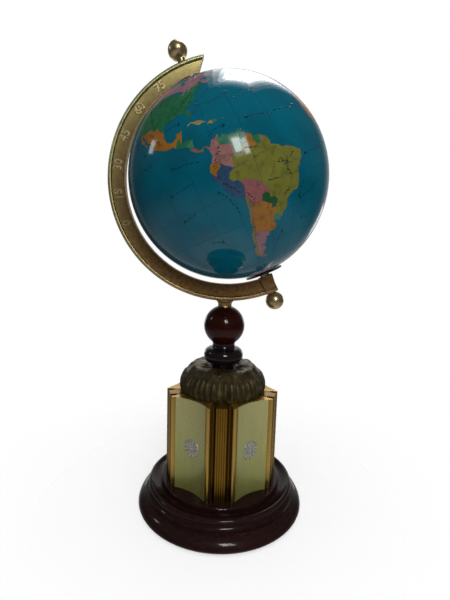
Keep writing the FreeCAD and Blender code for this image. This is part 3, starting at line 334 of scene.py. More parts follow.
# How far each kind of line wanders, as a part of a piece's length, and the shortest piece
# that is still split, in degrees.
COAST_SWING, ICE_SWING, BORDER_SWING = (0.16, 1.0), (0.12, 1.6), (0.09, 1.6)
RIVER_SWING, CURRENT_SWING = (0.14, 1.2), (0.10, 0.5)
SPLITS = 4                               # most times that a piece is halved


# ---------------------------------------------------------------- map making
def lines_of(text):
    """The lines of a text, each a list of (longitude, latitude)."""
    return [[tuple(map(float, pair.split(","))) for pair in line.split()]
            for line in text.split("|")]


def wander(points, closed, swing, shortest):
    """The line with natural wiggles: each long piece is split at a shifted middle."""
    def split(a, b, depth):
        reach = math.dist(a, b)
        if reach < shortest or depth == 0:
            return [a]
        chance = random.Random(f"{a} {b}")
        shift = chance.uniform(-swing, swing)
        place = chance.uniform(0.4, 0.6)
        middle = (a[0] + (b[0] - a[0]) * place - (b[1] - a[1]) * shift,
                  a[1] + (b[1] - a[1]) * place + (b[0] - a[0]) * shift)
        return split(a, middle, depth - 1) + split(middle, b, depth - 1)

    ends = points[1:] + points[:1] if closed else points[1:]
    made = []
    for a, b in zip(points, ends):
        made += split(a, b, SPLITS)
    return made if closed else made + [points[-1]]


def on_globe(lon, lat, radius=GLOBE_R):
    """Where a longitude and latitude in degrees lie at rest, in the frame."""
    across, up = math.radians(lon - FRONT_LON), math.radians(lat)
    flat = FRONT * math.cos(across) + EAST * math.sin(across)
    return CENTRE + (NORTH * math.sin(up) + flat * math.cos(up)) * radius


def map_net():
    """Points, triangles and wall edges of the whole map, in degrees."""
    points, edges = [], []

    def add(line, closed):
        first, count = len(points), len(line)
        points.extend(line)
        for k in range(count if closed else count - 1):
            edges.append((first + k, first + (k + 1) % count))

    for text in [*COASTS.values(), *LAKES.values()]:
        add(wander(lines_of(text)[0], True, *COAST_SWING), True)
    for text in OPEN_COASTS.values():
        add(wander(lines_of(text)[0], False, *ICE_SWING), False)
    for text in BORDERS.values():
        for line in lines_of(text):
            add(wander(line, False, *BORDER_SWING), False)
    walls = len(edges)

    columns = round((EAST_EDGE - WEST_EDGE) / GRID_STEP)
    rows = 2 * math.ceil(EDGE_LAT / GRID_STEP)
    first = len(points)
    for row in range(rows + 1):
        lat = -EDGE_LAT + 2 * EDGE_LAT * row / rows
        points.extend((WEST_EDGE + GRID_STEP * k, lat) for k in range(columns + 1))
    middle = first + rows // 2 * (columns + 1)
    edges.extend((middle + k, middle + k + 1) for k in range(columns))
    made = geometry.delaunay_2d_cdt([Vector(p) for p in points], edges, [], 0, 1e-5)
    verts, net_edges, faces, _, sources, _ = made
    wall_edges = {frozenset(e) for e, source in zip(net_edges, sources)
                  if any(s < walls for s in source)}
    return [tuple(v) for v in verts], [tuple(f) for f in faces], wall_edges


def sides_of(face):
    """A triangle's three edges, whichever way round they run."""
    return [frozenset((face[k], face[k - 1])) for k in range(3)]


def map_colours(points, faces, walls):
    """Each triangle's colour, spread from the countries' points up to the walls."""
    beside = {}
    for index, face in enumerate(faces):
        for edge in sides_of(face):
            if edge not in walls:
                beside.setdefault(edge, []).append(index)
    corner = np.array([[points[v] for v in face] for face in faces])
    legs = corner[:, 1:] - corner[:, :1]
    areas = (legs[:, 0, 0] * legs[:, 1, 1] - legs[:, 0, 1] * legs[:, 1, 0]) / 2
    colours = [None] * len(faces)

    def spread(start, colour):
        """Colour the region round one triangle, and give its triangles."""
        region, waiting = [], [start]
        while waiting:
            index = waiting.pop()
            if colours[index] is None:
                colours[index] = colour
                region.append(index)
                for edge in sides_of(faces[index]):
                    waiting += beside.get(edge, [])
        return region

    def at(seed):
        """The triangle that holds a point, or else the nearest to holding it."""
        side = []
        for k in range(3):
            a, b = corner[:, k], corner[:, (k + 1) % 3]
            side.append((b[:, 0] - a[:, 0]) * (seed[1] - a[:, 1])
                        - (b[:, 1] - a[:, 1]) * (seed[0] - a[:, 0]))
        return int(np.argmax(np.min(side, axis=0)))

    for colour, text in [("sea", WATERS), *COUNTRIES.items()]:
        for seed in lines_of(text)[0]:
            spread(at(seed), colour)
    spare = 0
    for index in range(len(faces)):
        region = spread(index, SPARE_COLOURS[spare % len(SPARE_COLOURS)])
        if region and areas[region].sum() < SMALLEST_LAND:
            for one in region:
                colours[one] = "sea"
        elif region:
            spare += 1
    return colours


def chains(edges):
    """Edges joined end to end into lines of point numbers."""
    near = {}
    for a, b in edges:
        near.setdefault(a, []).append(b)
        near.setdefault(b, []).append(a)
    left = {frozenset(edge) for edge in edges}
    lines = []
    for start in sorted(near, key=lambda v: (len(near[v]) == 2, v)):
        for ahead in near[start]:
            line, here = [start], start
            while frozenset((here, ahead)) in left:
                left.discard(frozenset((here, ahead)))
                line.append(ahead)
                onward = [v for v in near[ahead] if v != here]
                if len(near[ahead]) != 2 or not onward:
                    break
                here, ahead = ahead, onward[0]
            if len(line) > 1:
                lines.append(line)
    return lines


# ---------------------------------------------------------------- shader nodes
class Tree:
    """A node tree, with short ways to add the nodes that looks are made of."""

    def __init__(self, tree, coordinates):
        self.tree = tree
        self.place = self.node("TexCoord").outputs[coordinates]

    def node(self, kind, inputs=None, **settings):
        """A new node, each input given as a number, a colour or another node's output."""
        made = self.tree.nodes.new("ShaderNode" + kind)
        for name, value in settings.items():
            setattr(made, name, value)
        for place, value in (inputs or {}).items():
            self.feed(made, place, value)
        return made

    def feed(self, node, place, value):
        if isinstance(value, bpy.types.NodeSocket):
            self.tree.links.new(value, node.inputs[place])
        else:
            node.inputs[place].default_value = value

    def maths(self, operation, *values):
        return self.node("Math", dict(enumerate(values)), operation=operation).outputs["Value"]

    def along(self, axis):
        return self.node("SeparateXYZ", {"Vector": self.place}).outputs[axis]

    def ranged(self, value, low, high, start=0.0, end=1.0, kind="LINEAR"):
        """From start to end while the value goes from low to high."""
        ends = {"Value": value, "From Min": low, "From Max": high, "To Min": start, "To Max": end}
        return self.node("MapRange", ends, interpolation_type=kind).outputs["Result"]

    def noise(self, size_mm, detail=3.0, stretch=(1, 1, 1)):
        """Noise with features of about that size, drawn out by stretch."""
        scale = [1 / s for s in stretch]
        mapping = self.node("Mapping", {"Vector": self.place, "Scale": scale}).outputs["Vector"]
        settings = {"Vector": mapping, "Scale": 1 / (size_mm * MM), "Detail": detail}
        return self.node("TexNoise", settings).outputs["Fac"]

    def height(self, low, high):
        """0 to 1 from one height in the frame to another, in metres."""
        return self.ranged(self.along("Z"), low, high)

    def around(self, times):
        """0 to 1 and back to 0, that many times round the frame's upright axis."""
        turn = self.maths("ARCTAN2", self.along("Y"), self.along("X"))
        return self.ranged(self.maths("SINE", self.maths("MULTIPLY", turn, times)), -1, 1)

    def distance(self, centre):
        ends = {0: self.place, 1: centre}
        return self.node("VectorMath", ends, operation="DISTANCE").outputs["Value"]

    def ramp(self, factor, *stops):
        """Colours, or greys given as numbers, at places from 0 to 1 along the factor."""
        made = self.node("ValToRGB", {"Fac": factor})
        marks = made.color_ramp.elements
        while len(marks) < len(stops):
            marks.new(0.5)
        for mark, (place, colour) in zip(marks, stops):
            mark.position = place
            mark.color = (*colour, 1) if isinstance(colour, tuple) else (colour,) * 3 + (1,)
        return made.outputs["Color"]

    def mottle(self, noise, one, other):
        """One colour, or number, to another where the noise goes from low to high."""
        return self.ramp(self.noise(*noise), (0.3, one), (0.7, other))

    def mix(self, factor, a, b, blend="MIX"):
        made = self.node("Mix", {0: factor, 6: a, 7: b}, data_type="RGBA", blend_type=blend)
        return made.outputs[2]

    def times(self, a, b):
        return self.mix(1.0, a, b, "MULTIPLY")


SOCKETS = {
    "metallic": "Metallic", "roughness": "Roughness", "specular": "Specular IOR Level",
    "coat": "Coat Weight", "coat_roughness": "Coat Roughness", "sheen": "Sheen Weight",
}


class Look(Tree):
    """A Principled material."""

    def __init__(self, name, **sockets):
        self.material = bpy.data.materials.new(name)
        self.material.use_nodes = True
        super().__init__(self.material.node_tree, "Object")
        self.bsdf = self.tree.nodes["Principled BSDF"]
        for socket, value in sockets.items():
            self.bsdf.inputs[SOCKETS[socket]].default_value = value

    def finish(self, colour, roughness=None, relief=None):
        """Feed the shader and give the material.  Relief is (noise, depth in mm, strength)."""
        self.feed(self.bsdf, "Base Color", colour)
        if roughness:
            self.feed(self.bsdf, "Roughness", roughness)
        if relief:
            noise, depth, strength = relief
            heights = {"Height": self.noise(*noise), "Distance": depth * MM, "Strength": strength}
            self.feed(self.bsdf, "Normal", self.node("Bump", heights).outputs["Normal"])
        return self.material


def shade(colour, amount):
    return tuple(c * amount for c in colour)


# ---------------------------------------------------------------- materials
VARNISH = {"roughness": 0.5, "specular": 0.0, "coat": 0.55, "coat_roughness": 0.085}
VARNISH_RELIEF = ((5, 2), 0.012, 0.35)
INK_GRAIN = (0.25, 2)
LAND_RELIEF = 0.55              # how dark the hills are tinted
SEA = (0.0, 0.063, 0.096)
INKS = {
    "pink": (0.149, 0.0782, 0.0918), "dusty_pink": (0.163, 0.0782, 0.0715),
    "green": (0.0102, 0.0806, 0.0339), "teal": (0.0225, 0.102, 0.0602),
    "steel_blue": (0.0169, 0.0405, 0.079), "olive": (0.0937, 0.096, 0.0162),
    "rose": (0.15, 0.0532, 0.0532), "dark_green": (0.00663, 0.0498, 0.0132),
    "tan": (0.107, 0.0821, 0.0356), "orange": (0.178, 0.0749, 0.0113),
    "yellow": (0.185, 0.135, 0.05), "ice": (0.265, 0.233, 0.248),
}


def printed(name, colour, relief=0.0):
    """Map print under clear varnish: mottled ink, and darker relief tints on land."""
    look = Look(name, **VARNISH)
    ink = look.ramp(look.noise(9, 4), (0.3, shade(colour, 0.86)), (0.72, shade(colour, 1.12)))
    if relief:
        hills = look.ramp(look.noise(3.2, 6), (0.52, 0.0), (0.68, relief))
        ink = look.mix(hills, ink, (*shade(colour, 0.45), 1))
    return look.finish(look.times(ink, look.mottle(INK_GRAIN, 0.92, 1.05)), relief=VARNISH_RELIEF)


def sea_print():
    """The sea: deep teal with paler shelves and darker basins, under the varnish."""
    look = Look("sea_print", **VARNISH)
    basins = look.ramp(look.noise(22, 5), (0.34, shade(SEA, 0.84)), (0.5, SEA),
                       (0.66, shade(SEA, 1.1)))
    return look.finish(look.times(basins, look.mottle(INK_GRAIN, 0.94, 1.04)), relief=VARNISH_RELIEF)


def antique_brass():
    """Satin brass, browned in blotches, with fine cast grain, and painted light that makes it darker low down and
    lighter at the top.
    The arm's web is dull beside its bright outer bead, which is a painted highlight, and darkest towards its inner
    edge as painted shade; a painted shadow lines the outer bead's foot and the inner bead has a painted highlight."""
    look = Look("antique_brass", metallic=0.88)
    clean_and_lit = look.mottle((4, 5), (0.42, 0.36, 0.160), (0.58, 0.505, 0.235))
    aged_and_shaded = look.ramp(look.noise(2.2, 6), (0.32, (0.205, 0.110, 0.045)), (0.7, (0.42, 0.25, 0.102)))
    # painted light: the brass is darker low down and lighter towards the top
    rise = look.ramp(look.height(0.145, 0.262), (0.0, 0.0), (1.0, 1.0))
    reach = look.ranged(look.distance(CENTRE), ARM_IN_R * MM, ARM_OUT_R * MM)
    # painted light across the web: painted highlights on the inner and outer beads, a painted shadow at the outer
    # bead's foot, and painted shade towards the inner edge
    web_painted_light = look.ramp(reach, (0.0, (0.80, 0.74, 0.66)), (0.08, (0.40, 0.34, 0.30)),
                    (0.42, (0.54, 0.49, 0.42)), (0.72, (0.74, 0.72, 0.62)),
                    (0.78, (0.40, 0.37, 0.29)), (0.84, (0.96, 1.12, 1.3)))
    tone = look.times(look.mix(rise, aged_and_shaded, clean_and_lit), web_painted_light)
    return look.finish(tone, look.mottle((1.3, 5), 0.32, 0.46), ((0.5, 3), 0.02, 0.5))


def rubbed_brass():
    """The raised figures, rubbed bright, a brightness that also stands in for their highlights; the lower figures
    are darker as painted shade.
    """
    look = Look("rubbed_brass", metallic=0.9)
    tone = look.mottle((1.6, 5), (0.58, 0.47, 0.22), (0.82, 0.69, 0.36))
    # painted shade: the lower figures are darker
    low_figure_shade = look.ramp(look.height(0.155, 0.225), (0.0, 0.38), (1.0, 1.0))
    return look.finish(look.times(tone, low_figure_shade), look.mottle((0.8, 4), 0.22, 0.34))


def gold():
    """Gold anodised extrusion with drawn grain: painted shade in the grooves, pale edges that are painted
    highlights, and painted shade at its foot.
    """
    look = Look("gold", metallic=0.92)
    groove_shade = (0.13, 0.062, 0.010)
    # painted light round the column: painted shade in the grooves, painted highlights on the pale edges
    tone = look.ramp(look.around(FACES), (0.04, (0.28, 0.152, 0.020)), (0.075, groove_shade), (0.17, groove_shade),
                     (0.21, (0.38, 0.22, 0.042)), (0.27, (0.70, 0.465, 0.12)),
                     (0.40, (0.47, 0.265, 0.045)))
    drawn = look.mottle((6, 3, (1, 1, 6)), 0.84, 1.08)
    # painted shade: darker at the column's foot, where it stands in the plinth
    foot_shade = look.ramp(look.height(0.018, 0.036), (0.0, 0.30), (1.0, 1.0))
    return look.finish(look.times(look.times(tone, drawn), foot_shade),
                       look.mottle((2.0, 3, (1, 1, 20)), 0.20, 0.32))


def inlay():
    """Satin khaki-green sheet, lighter towards the top and darker towards its foot as painted light and shade."""
    look = Look("inlay", metallic=0.6, coat=0.2, coat_roughness=0.2)
    # painted light and shade: lighter towards the top, darker towards the foot
    tone = look.ramp(look.height(0.022, 0.078), (0.0, (0.225, 0.228, 0.066)),
                     (0.5, (0.330, 0.332, 0.126)), (1.0, (0.400, 0.376, 0.160)))
    brushed = look.mottle((1.2, 2, (1, 1, 30)), 0.94, 1.04)
    return look.finish(look.times(tone, brushed), look.mottle((3, 3), 0.26, 0.34))


def olive_bronze():
    """Dark olive cast bronze, rubbed paler in patches."""
    look = Look("olive_bronze", metallic=0.5, specular=0.3, coat=0.06, coat_roughness=0.3)
    tone = look.ramp(look.noise(5, 6), (0.3, (0.014, 0.0095, 0.003)), (0.55, (0.036, 0.026, 0.008)),
                     (0.75, (0.080, 0.060, 0.022)))
    return look.finish(tone, look.mottle((1.5, 5), 0.42, 0.58), ((0.8, 4), 0.05, 0.6))


def plain(name, colour, gloss=None, relief=None, **sockets):
    """A look that is mottled in colour and in gloss, each (noise, one end, other end)."""
    look = Look(name, **sockets)
    return look.finish(look.mottle(*colour), gloss and look.mottle(*gloss), relief)


def lacquer(name, colour, roughness, coat):
    """Glossy lacquer over turned wood: faint dark streaks, and a little dust in the gloss."""
    return plain(name, ((3.5, 5, (1, 1, 0.35)), shade(colour, 0.7), shade(colour, 1.35)),
                 ((1.2, 4), roughness - 0.05, roughness + 0.08), ((2.5, 2), 0.01, 0.3),
                 specular=0.04, coat=coat, coat_roughness=0.07)


def black_plastic(name, roughness):
    return plain(name, ((2, 4), (0.008, 0.009, 0.010), (0.018, 0.019, 0.021)),
                 ((0.6, 3), roughness - 0.08, roughness + 0.08), ((0.35, 3), 0.01, 0.5))


def ink_line(name, colour):
    return plain(name, ((1.5, 3), shade(colour, 0.8), shade(colour, 1.25)),
                 roughness=0.5, specular=0.0, coat=0.35, coat_roughness=0.09)


def felt():
    return plain("felt", ((0.4, 5), (0.008, 0.022, 0.013), (0.02, 0.05, 0.03)),
                 relief=((0.25, 4), 0.15, 0.8), roughness=0.95, sheen=0.5)


def steel():
    return plain("steel", ((3, 4), (0.42, 0.42, 0.42), (0.6, 0.6, 0.61)),
                 ((0.5, 3, (1, 1, 20)), 0.25, 0.4), metallic=1.0)


def knob_brass():
    return plain("knob_brass", ((2.5, 5), (0.36, 0.265, 0.13), (0.58, 0.445, 0.24)),
                 ((0.9, 4), 0.26, 0.38), ((0.7, 3), 0.012, 0.4), metallic=0.95)


def bright_ring():
    return plain("bright_ring", ((1.5, 3), (0.46, 0.40, 0.26), (0.62, 0.55, 0.38)),
                 ((0.6, 3, (1, 1, 0.1)), 0.14, 0.25), metallic=1.0)


def emblem():
    return plain("emblem", ((2, 4), (0.31, 0.312, 0.27), (0.54, 0.545, 0.47)),
                 ((0.8, 3), 0.30, 0.46), metallic=0.75)


def emblem_ground():
    """The sunk ground between the petals, darkened to a warm grey."""
    return plain("emblem_ground", ((1.5, 4), (0.16, 0.157, 0.105), (0.31, 0.305, 0.21)),
                 ((0.8, 3), 0.45, 0.6), metallic=0.6)


LOOKS = {
    "plinth": lacquer("plinth", (0.0105, 0.0038, 0.0036), 0.30, 0.32),
    "felt": felt(),
    "steel": steel(),
    "gold": gold(),
    "black_plastic": black_plastic("black_plastic", 0.5),
    "inlay": inlay(),
    "emblem": emblem(),
    "olive_bronze": olive_bronze(),
    "dark_turning": lacquer("dark_turning", (0.006, 0.003, 0.0038), 0.2, 0.65),
    "maroon_turning": lacquer("maroon_turning", (0.013, 0.0019, 0.0010), 0.2, 0.4),
    "antique_brass": antique_brass(),
    "knob_brass": knob_brass(),
    "bright_ring": bright_ring(),
    "globe_print": printed("shell_blank", (0.2, 0.2, 0.19)),
    "pole_plate": black_plastic("pole_plate", 0.28),
}


def dress_nodes():
    """Give each CAD node the look of its slot in the record."""
    for part in frame["record"]["subparts"]:
        for place in nodes[part["node"]].material_slots:
            place.material = LOOKS[part["material_slot"]]


# ---------------------------------------------------------------- making pieces
def mesh_object(name, verts, faces, looks, smooth=True):
    mesh = bpy.data.meshes.new(name)
    mesh.from_pydata([tuple(v) for v in verts], [], faces)
    for look in looks:
        mesh.materials.append(look)
    mesh.polygons.foreach_set("use_smooth", [smooth] * len(mesh.polygons))
    mesh.update()
    made = bpy.data.objects.new(name, mesh)
    bpy.context.scene.collection.objects.link(made)
    return made


def hand_over(piece, body, slot, *replaced):
    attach(piece, body)
    if replaced:
        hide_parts(*replaced)


def smoothstep(value, low, high):
    part = min(max((value - low) / (high - low), 0), 1)
    return part * part * (3 - 2 * part)


def arc(a, via, b, count):
    """Points from a to just before b on the circle through the three, in a plane."""
    (ax, ay), (vx, vy), (bx, by) = a, via, b
    d = 2 * (ax * (vy - by) + vx * (by - ay) + bx * (ay - vy))
    a2, v2, b2 = ax * ax + ay * ay, vx * vx + vy * vy, bx * bx + by * by
    cx = (a2 * (vy - by) + v2 * (by - ay) + b2 * (ay - vy)) / d
    cy = (a2 * (bx - vx) + v2 * (ax - bx) + b2 * (vx - ax)) / d
    radius = math.hypot(ax - cx, ay - cy)
    start, mid, end = (math.atan2(y - cy, x - cx) for x, y in (a, via, b))
    sweep = (end - start) % math.tau
    if (mid - start) % math.tau > sweep:
        sweep -= math.tau
    return [(cx + radius * math.cos(start + sweep * k / count),
             cy + radius * math.sin(start + sweep * k / count)) for k in range(count)]


def lathe(name, outline, columns, look, shape):
    """A closed solid turned from an outline in (radius, height), in millimetres, that
    runs anticlockwise.  shape(radius, height, angle) says where each point goes."""
    verts, faces = [], []
    for k in range(columns):
        angle = math.tau * k / columns
        for radius, height in outline:
            r, z = shape(radius, height, angle)
            verts.append((r * MM * math.sin(angle), -r * MM * math.cos(angle), z * MM))
    rows = len(outline)
    for k in range(columns):
        here, ahead = k * rows, (k + 1) % columns * rows
        for j in range(rows):
            i = (j + 1) % rows
            faces.append((here + j, ahead + j, ahead + i, here + i))
    return mesh_object(name, verts, faces, [look])


def tidy(piece):
    """Merge points that lie on each other and turn every face outwards."""
    work = bmesh.new()
    work.from_mesh(piece.data)
    bmesh.ops.remove_doubles(work, verts=work.verts, dist=1e-7)
    bmesh.ops.recalc_face_normals(work, faces=work.faces)
    work.to_mesh(piece.data)
    work.free()


# ---------------------------------------------------------------- globe
# Half width and height of each kind of printed line, in millimetres, and its ink.
LINE_KINDS = {
    "map_coast_lines": (0.14, 0.03, "coast_ink", (0.006, 0.038, 0.062)),
    "map_border_lines": (0.11, 0.03, "border_ink", (0.07, 0.03, 0.025)),
    "map_graticule": (0.07, 0.02, "grid_ink", (0.002, 0.030, 0.050)),
    "map_rivers": (0.08, 0.022, "river_ink", (0.012, 0.05, 0.07)),
    "map_sea_marks": (0.21, 0.022, "current_ink", (0.001, 0.014, 0.026)),
    "map_hill_marks": (0.15, 0.025, "hill_ink", (0.012, 0.010, 0.005)),
}
GRID_LINES = 15                 # degrees from one meridian or parallel to the next
TOP_PARALLEL = 75
DASH, DASH_STEP = 4, 5          # points in a dash, and from one dash to the next
BARB, BARB_TURN = 1.5, 2.6      # length in degrees of the map, and turn in radians
HILL_STEP = 0.75                # degrees of the map from one stroke to the next
CITY_R = 0.28 * MM
CITY_SIDES = 10


def globe_skin(name, points, faces, colours, looks, node):
    """One half of the printed globe: an outer skin in its colours, a plain inside and
    a rim round each opening, all one closed solid."""
    key_of = {}
    outer, inner, order = [], [], {}
    for v in {v for face in faces for v in face}:
        lon, lat = points[v]
        key = (round((lon - WEST_EDGE) % 360, 5) % 360, round(lat, 5))
        if key not in key_of:
            key_of[key] = len(outer)
            outer.append(on_globe(lon, lat))
            inner.append(on_globe(lon, lat, GLOBE_R - SHELL_WALL))
        order[v] = key_of[key]
    total = len(outer)
    made, tints, sides = [], [], {}
    names = list(looks)
    for face, colour in zip(faces, colours):
        a, b, c = (order[v] for v in face)
        if len({a, b, c}) == 3:
            made.append((a, b, c))
            tints.append(names.index(colour))
            sides.update(dict.fromkeys(((a, b), (b, c), (c, a))))
    skin_faces = len(made)
    made += [(c + total, b + total, a + total) for a, b, c in made]
    made += [(b, a, a + total, b + total) for a, b in sides if (b, a) not in sides]
    tints += [len(names)] * (len(made) - skin_faces)
    piece = mesh_object(name, outer + inner, made, [*looks.values(), LOOKS["globe_print"]])
    piece.data.polygons.foreach_set("material_index", tints)
    normals = []
    for number, face in enumerate(made):
        if number < skin_faces:
            normals += [(outer[v] - CENTRE).normalized() for v in face]
        elif number < 2 * skin_faces:
            normals += [(CENTRE - inner[v - total]).normalized() for v in face]
        else:
            normals += [piece.data.polygons[number].normal.copy()] * len(face)
    piece.data.normals_split_custom_set(normals)
    hand_over(piece, "globe", "globe_print", node)


def threads(name, lines):
    """Fine printed lines on the globe: each is a three-sided bead half sunk in it."""
    half_width, proud, ink, colour = LINE_KINDS[name]
    verts, faces = [], []
    for line in lines:
        closed = (line[0] - line[-1]).length < 1e-7
        line = line[:-1] if closed else line
        count, first = len(line), len(verts)
        if count < 2 or (closed and count < 3):
            continue
        for k, place in enumerate(line):
            before = line[k - 1] if k or closed else line[k]
            after = line[(k + 1) % count] if k < count - 1 or closed else line[k]
            out = (place - CENTRE).normalized()
            side = out.cross(after - before).normalized() * half_width * MM
            lift = out * proud * MM
            verts += [place + lift, place + side - lift, place - side - lift]
        for k in range(count if closed else count - 1):
            here, ahead = first + 3 * k, first + 3 * ((k + 1) % count)
            for j in range(3):
                i = (j + 1) % 3
                faces.append((here + j, here + i, ahead + i, ahead + j))
        if not closed:
            last = first + 3 * (count - 1)
            faces += [(first + 2, first + 1, first), (last, last + 1, last + 2)]
    hand_over(mesh_object(name, verts, faces, [ink_line(ink, colour)]), "globe", "globe_print")


def printed_map():
    """The globe's two halves in their map colours, and the coast and border lines."""
    points, faces, walls = map_net()
    colours = map_colours(points, faces, walls)
    looks = {"sea": sea_print()}
    for colour, ink in INKS.items():
        looks[colour] = printed(colour + "_print", ink, 0.0 if colour == "ice" else LAND_RELIEF)
    for half, sign in (("north", 1), ("south", -1)):
        kept = [k for k, face in enumerate(faces) if sign * sum(points[v][1] for v in face) > 0]
        globe_skin(half + "_map_skin", points, [faces[k] for k in kept],
                   [colours[k] for k in kept], looks, half + "_shell")

    beside = {}
    for face, colour in zip(faces, colours):
        for edge in sides_of(face):
            beside.setdefault(edge, []).append(colour)
    edges = {"map_coast_lines": [], "map_border_lines": []}
    for edge, both in beside.items():
        if len(both) == 2 and both[0] != both[1]:
            edges["map_coast_lines" if "sea" in both else "map_border_lines"].append(tuple(sorted(edge)))
    for name, pairs in edges.items():
        threads(name, [[on_globe(*points[v]) for v in line] for line in chains(sorted(pairs))])


def graticule():
    """Meridians and parallels, as hair lines."""
    lines = []
    for lon in range(-180, 180, GRID_LINES):
        lines.append([on_globe(lon, lat) for lat in range(-TOP_PARALLEL, TOP_PARALLEL + 1, 3)])
    for lat in range(-TOP_PARALLEL, TOP_PARALLEL + 1, GRID_LINES):
        lines.append([on_globe(lon, lat) for lon in range(-180, 181, 4)])
    threads("map_graticule", lines)


def rivers():
    threads("map_rivers", [[on_globe(*place) for place in wander(line, False, *RIVER_SWING)]
                           for line in lines_of(RIVERS)])


def sea_marks():
    """Ocean currents as broken lines with a barb at the end, as sea charts draw them."""
    lines = []
    for line in lines_of(CURRENTS):
        track = wander(line, False, *CURRENT_SWING)
        for first in range(0, len(track) - DASH + 1, DASH_STEP):
            lines.append([on_globe(*place) for place in track[first:first + DASH]])
        (lon, lat), (lon2, lat2) = track[-2:]
        heading = math.atan2(lat2 - lat, lon2 - lon)
        for turn in (heading + BARB_TURN, heading - BARB_TURN):
            barb = (lon2 + BARB * math.cos(turn), lat2 + BARB * math.sin(turn))
            lines.append([on_globe(lon2, lat2), on_globe(*barb)])
    threads("map_sea_marks", lines)


def hill_marks():
    """Short strokes across each mountain range, the way hills are drawn on maps."""
    chance = random.Random(7)
    lines = []
    for line in lines_of(RANGES):
        for start, end in zip(line, line[1:]):
            length = math.dist(start, end)
            for step in np.arange(0, length, HILL_STEP):
                part = step / length
                x = start[0] + (end[0] - start[0]) * part + chance.uniform(-0.5, 0.5)
                y = start[1] + (end[1] - start[1]) * part + chance.uniform(-0.4, 0.4)
                reach = chance.uniform(0.35, 0.8)
                lean = chance.uniform(-0.4, 0.4)
                lines.append([on_globe(x - reach, y - reach * lean), on_globe(x, y + 0.22),
                              on_globe(x + reach, y + reach * lean)])
    threads("map_hill_marks", lines)


def city_dots():
    """A small raised dot of ink on each city."""
    verts, faces = [], []
    for lon, lat in lines_of(CITIES)[0]:
        place = on_globe(lon, lat)
        out = (place - CENTRE).normalized()
        across = out.cross(NORTH).normalized()
        along = out.cross(across)
        first, top = len(verts), len(verts) + CITY_SIDES
        for lift, size in ((-0.06 * MM, CITY_R), (0.03 * MM, CITY_R * 0.85)):
            for k in range(CITY_SIDES):
                turn = math.tau * k / CITY_SIDES
                verts.append(place + out * lift
                             + (across * math.cos(turn) - along * math.sin(turn)) * size)
        for k in range(CITY_SIDES):
            i = (k + 1) % CITY_SIDES
            faces.append((first + k, first + i, top + i, top + k))
        faces.append(tuple(range(top, top + CITY_SIDES)))
        faces.append(tuple(reversed(range(first, top))))
    dots = mesh_object("map_city_dots", verts, faces, [ink_line("city_ink", (0.05, 0.012, 0.01))], False)
    hand_over(dots, "globe", "globe_print")


# ---------------------------------------------------------------- arm numerals
ARM_WEB_HALF_T = 2.2
NUMERAL_R = 71.5
NUMERAL_SIZE = 7.2
NUMERAL_RAISE = 0.5
NUMERAL_BEVEL = 0.05
NUMERAL_SWELL = 0.13
POLE_DEG = 23.4                 # where 90 would stand, from straight up towards -X


def numeral_mesh(text):
    curve = bpy.data.curves.new("numeral", "FONT")
    curve.body = text
    curve.size = NUMERAL_SIZE * MM
    curve.extrude = NUMERAL_RAISE * MM
    curve.bevel_depth = NUMERAL_BEVEL * MM
    curve.bevel_resolution = 1
    curve.offset = NUMERAL_SWELL * MM
    curve.resolution_u = 6
    curve.align_x, curve.align_y = "CENTER", "CENTER"
    made = bpy.data.objects.new("numeral", curve)
    bpy.context.scene.collection.objects.link(made)
    graph = bpy.context.evaluated_depsgraph_get()
    mesh = bpy.data.meshes.new_from_object(made.evaluated_get(graph))
    bpy.data.objects.remove(made)
    return mesh


def arm_numerals():
    """Latitude figures cast on both sides of the arm, from 75 down to 0."""
    verts, faces = [], []
    for latitude in range(75, -1, -15):
        angle = math.radians(POLE_DEG + 90 - latitude)
        out = Vector((-math.sin(angle), 0, math.cos(angle)))
        mesh = numeral_mesh(str(latitude))
        for side in (-1, 1):
            across = Vector((math.cos(angle), 0, math.sin(angle))) * -side
            face_out = Vector((0, side, 0))
            first = len(verts)
            origin = CENTRE + out * NUMERAL_R * MM + face_out * ARM_WEB_HALF_T * MM
            for v in mesh.vertices:
                verts.append(origin + across * v.co.x + out * v.co.y + face_out * v.co.z)
            faces += [tuple(first + v for v in polygon.vertices) for polygon in mesh.polygons]
        bpy.data.meshes.remove(mesh)
    hand_over(mesh_object("arm_numerals", verts, faces, [rubbed_brass()], False), "stand", "antique_brass")


# ---------------------------------------------------------------- dome
GADROONS = 43
GADROON_DEPTH = 1.9
GADROON_TOP = 13.6              # above the foot, as are the other dome heights
GADROON_COLUMNS = 10
CREST_SINK = 1.7
FOLD_DEPTH = 1.1
FOLD_COUNTS = (4, 7, 10, 15)    # waves round the crest, added together
DOME_WALL = 2.2
SIDE_Z = 3.5                    # where the upright foot ends and the side curves in
CREST_R, WELL_R = 16.0, 8.4     # the rolled crest's top, and the well inside it
WELL_DEPTH = 4.3
ROD_HOLE_R = 3.3


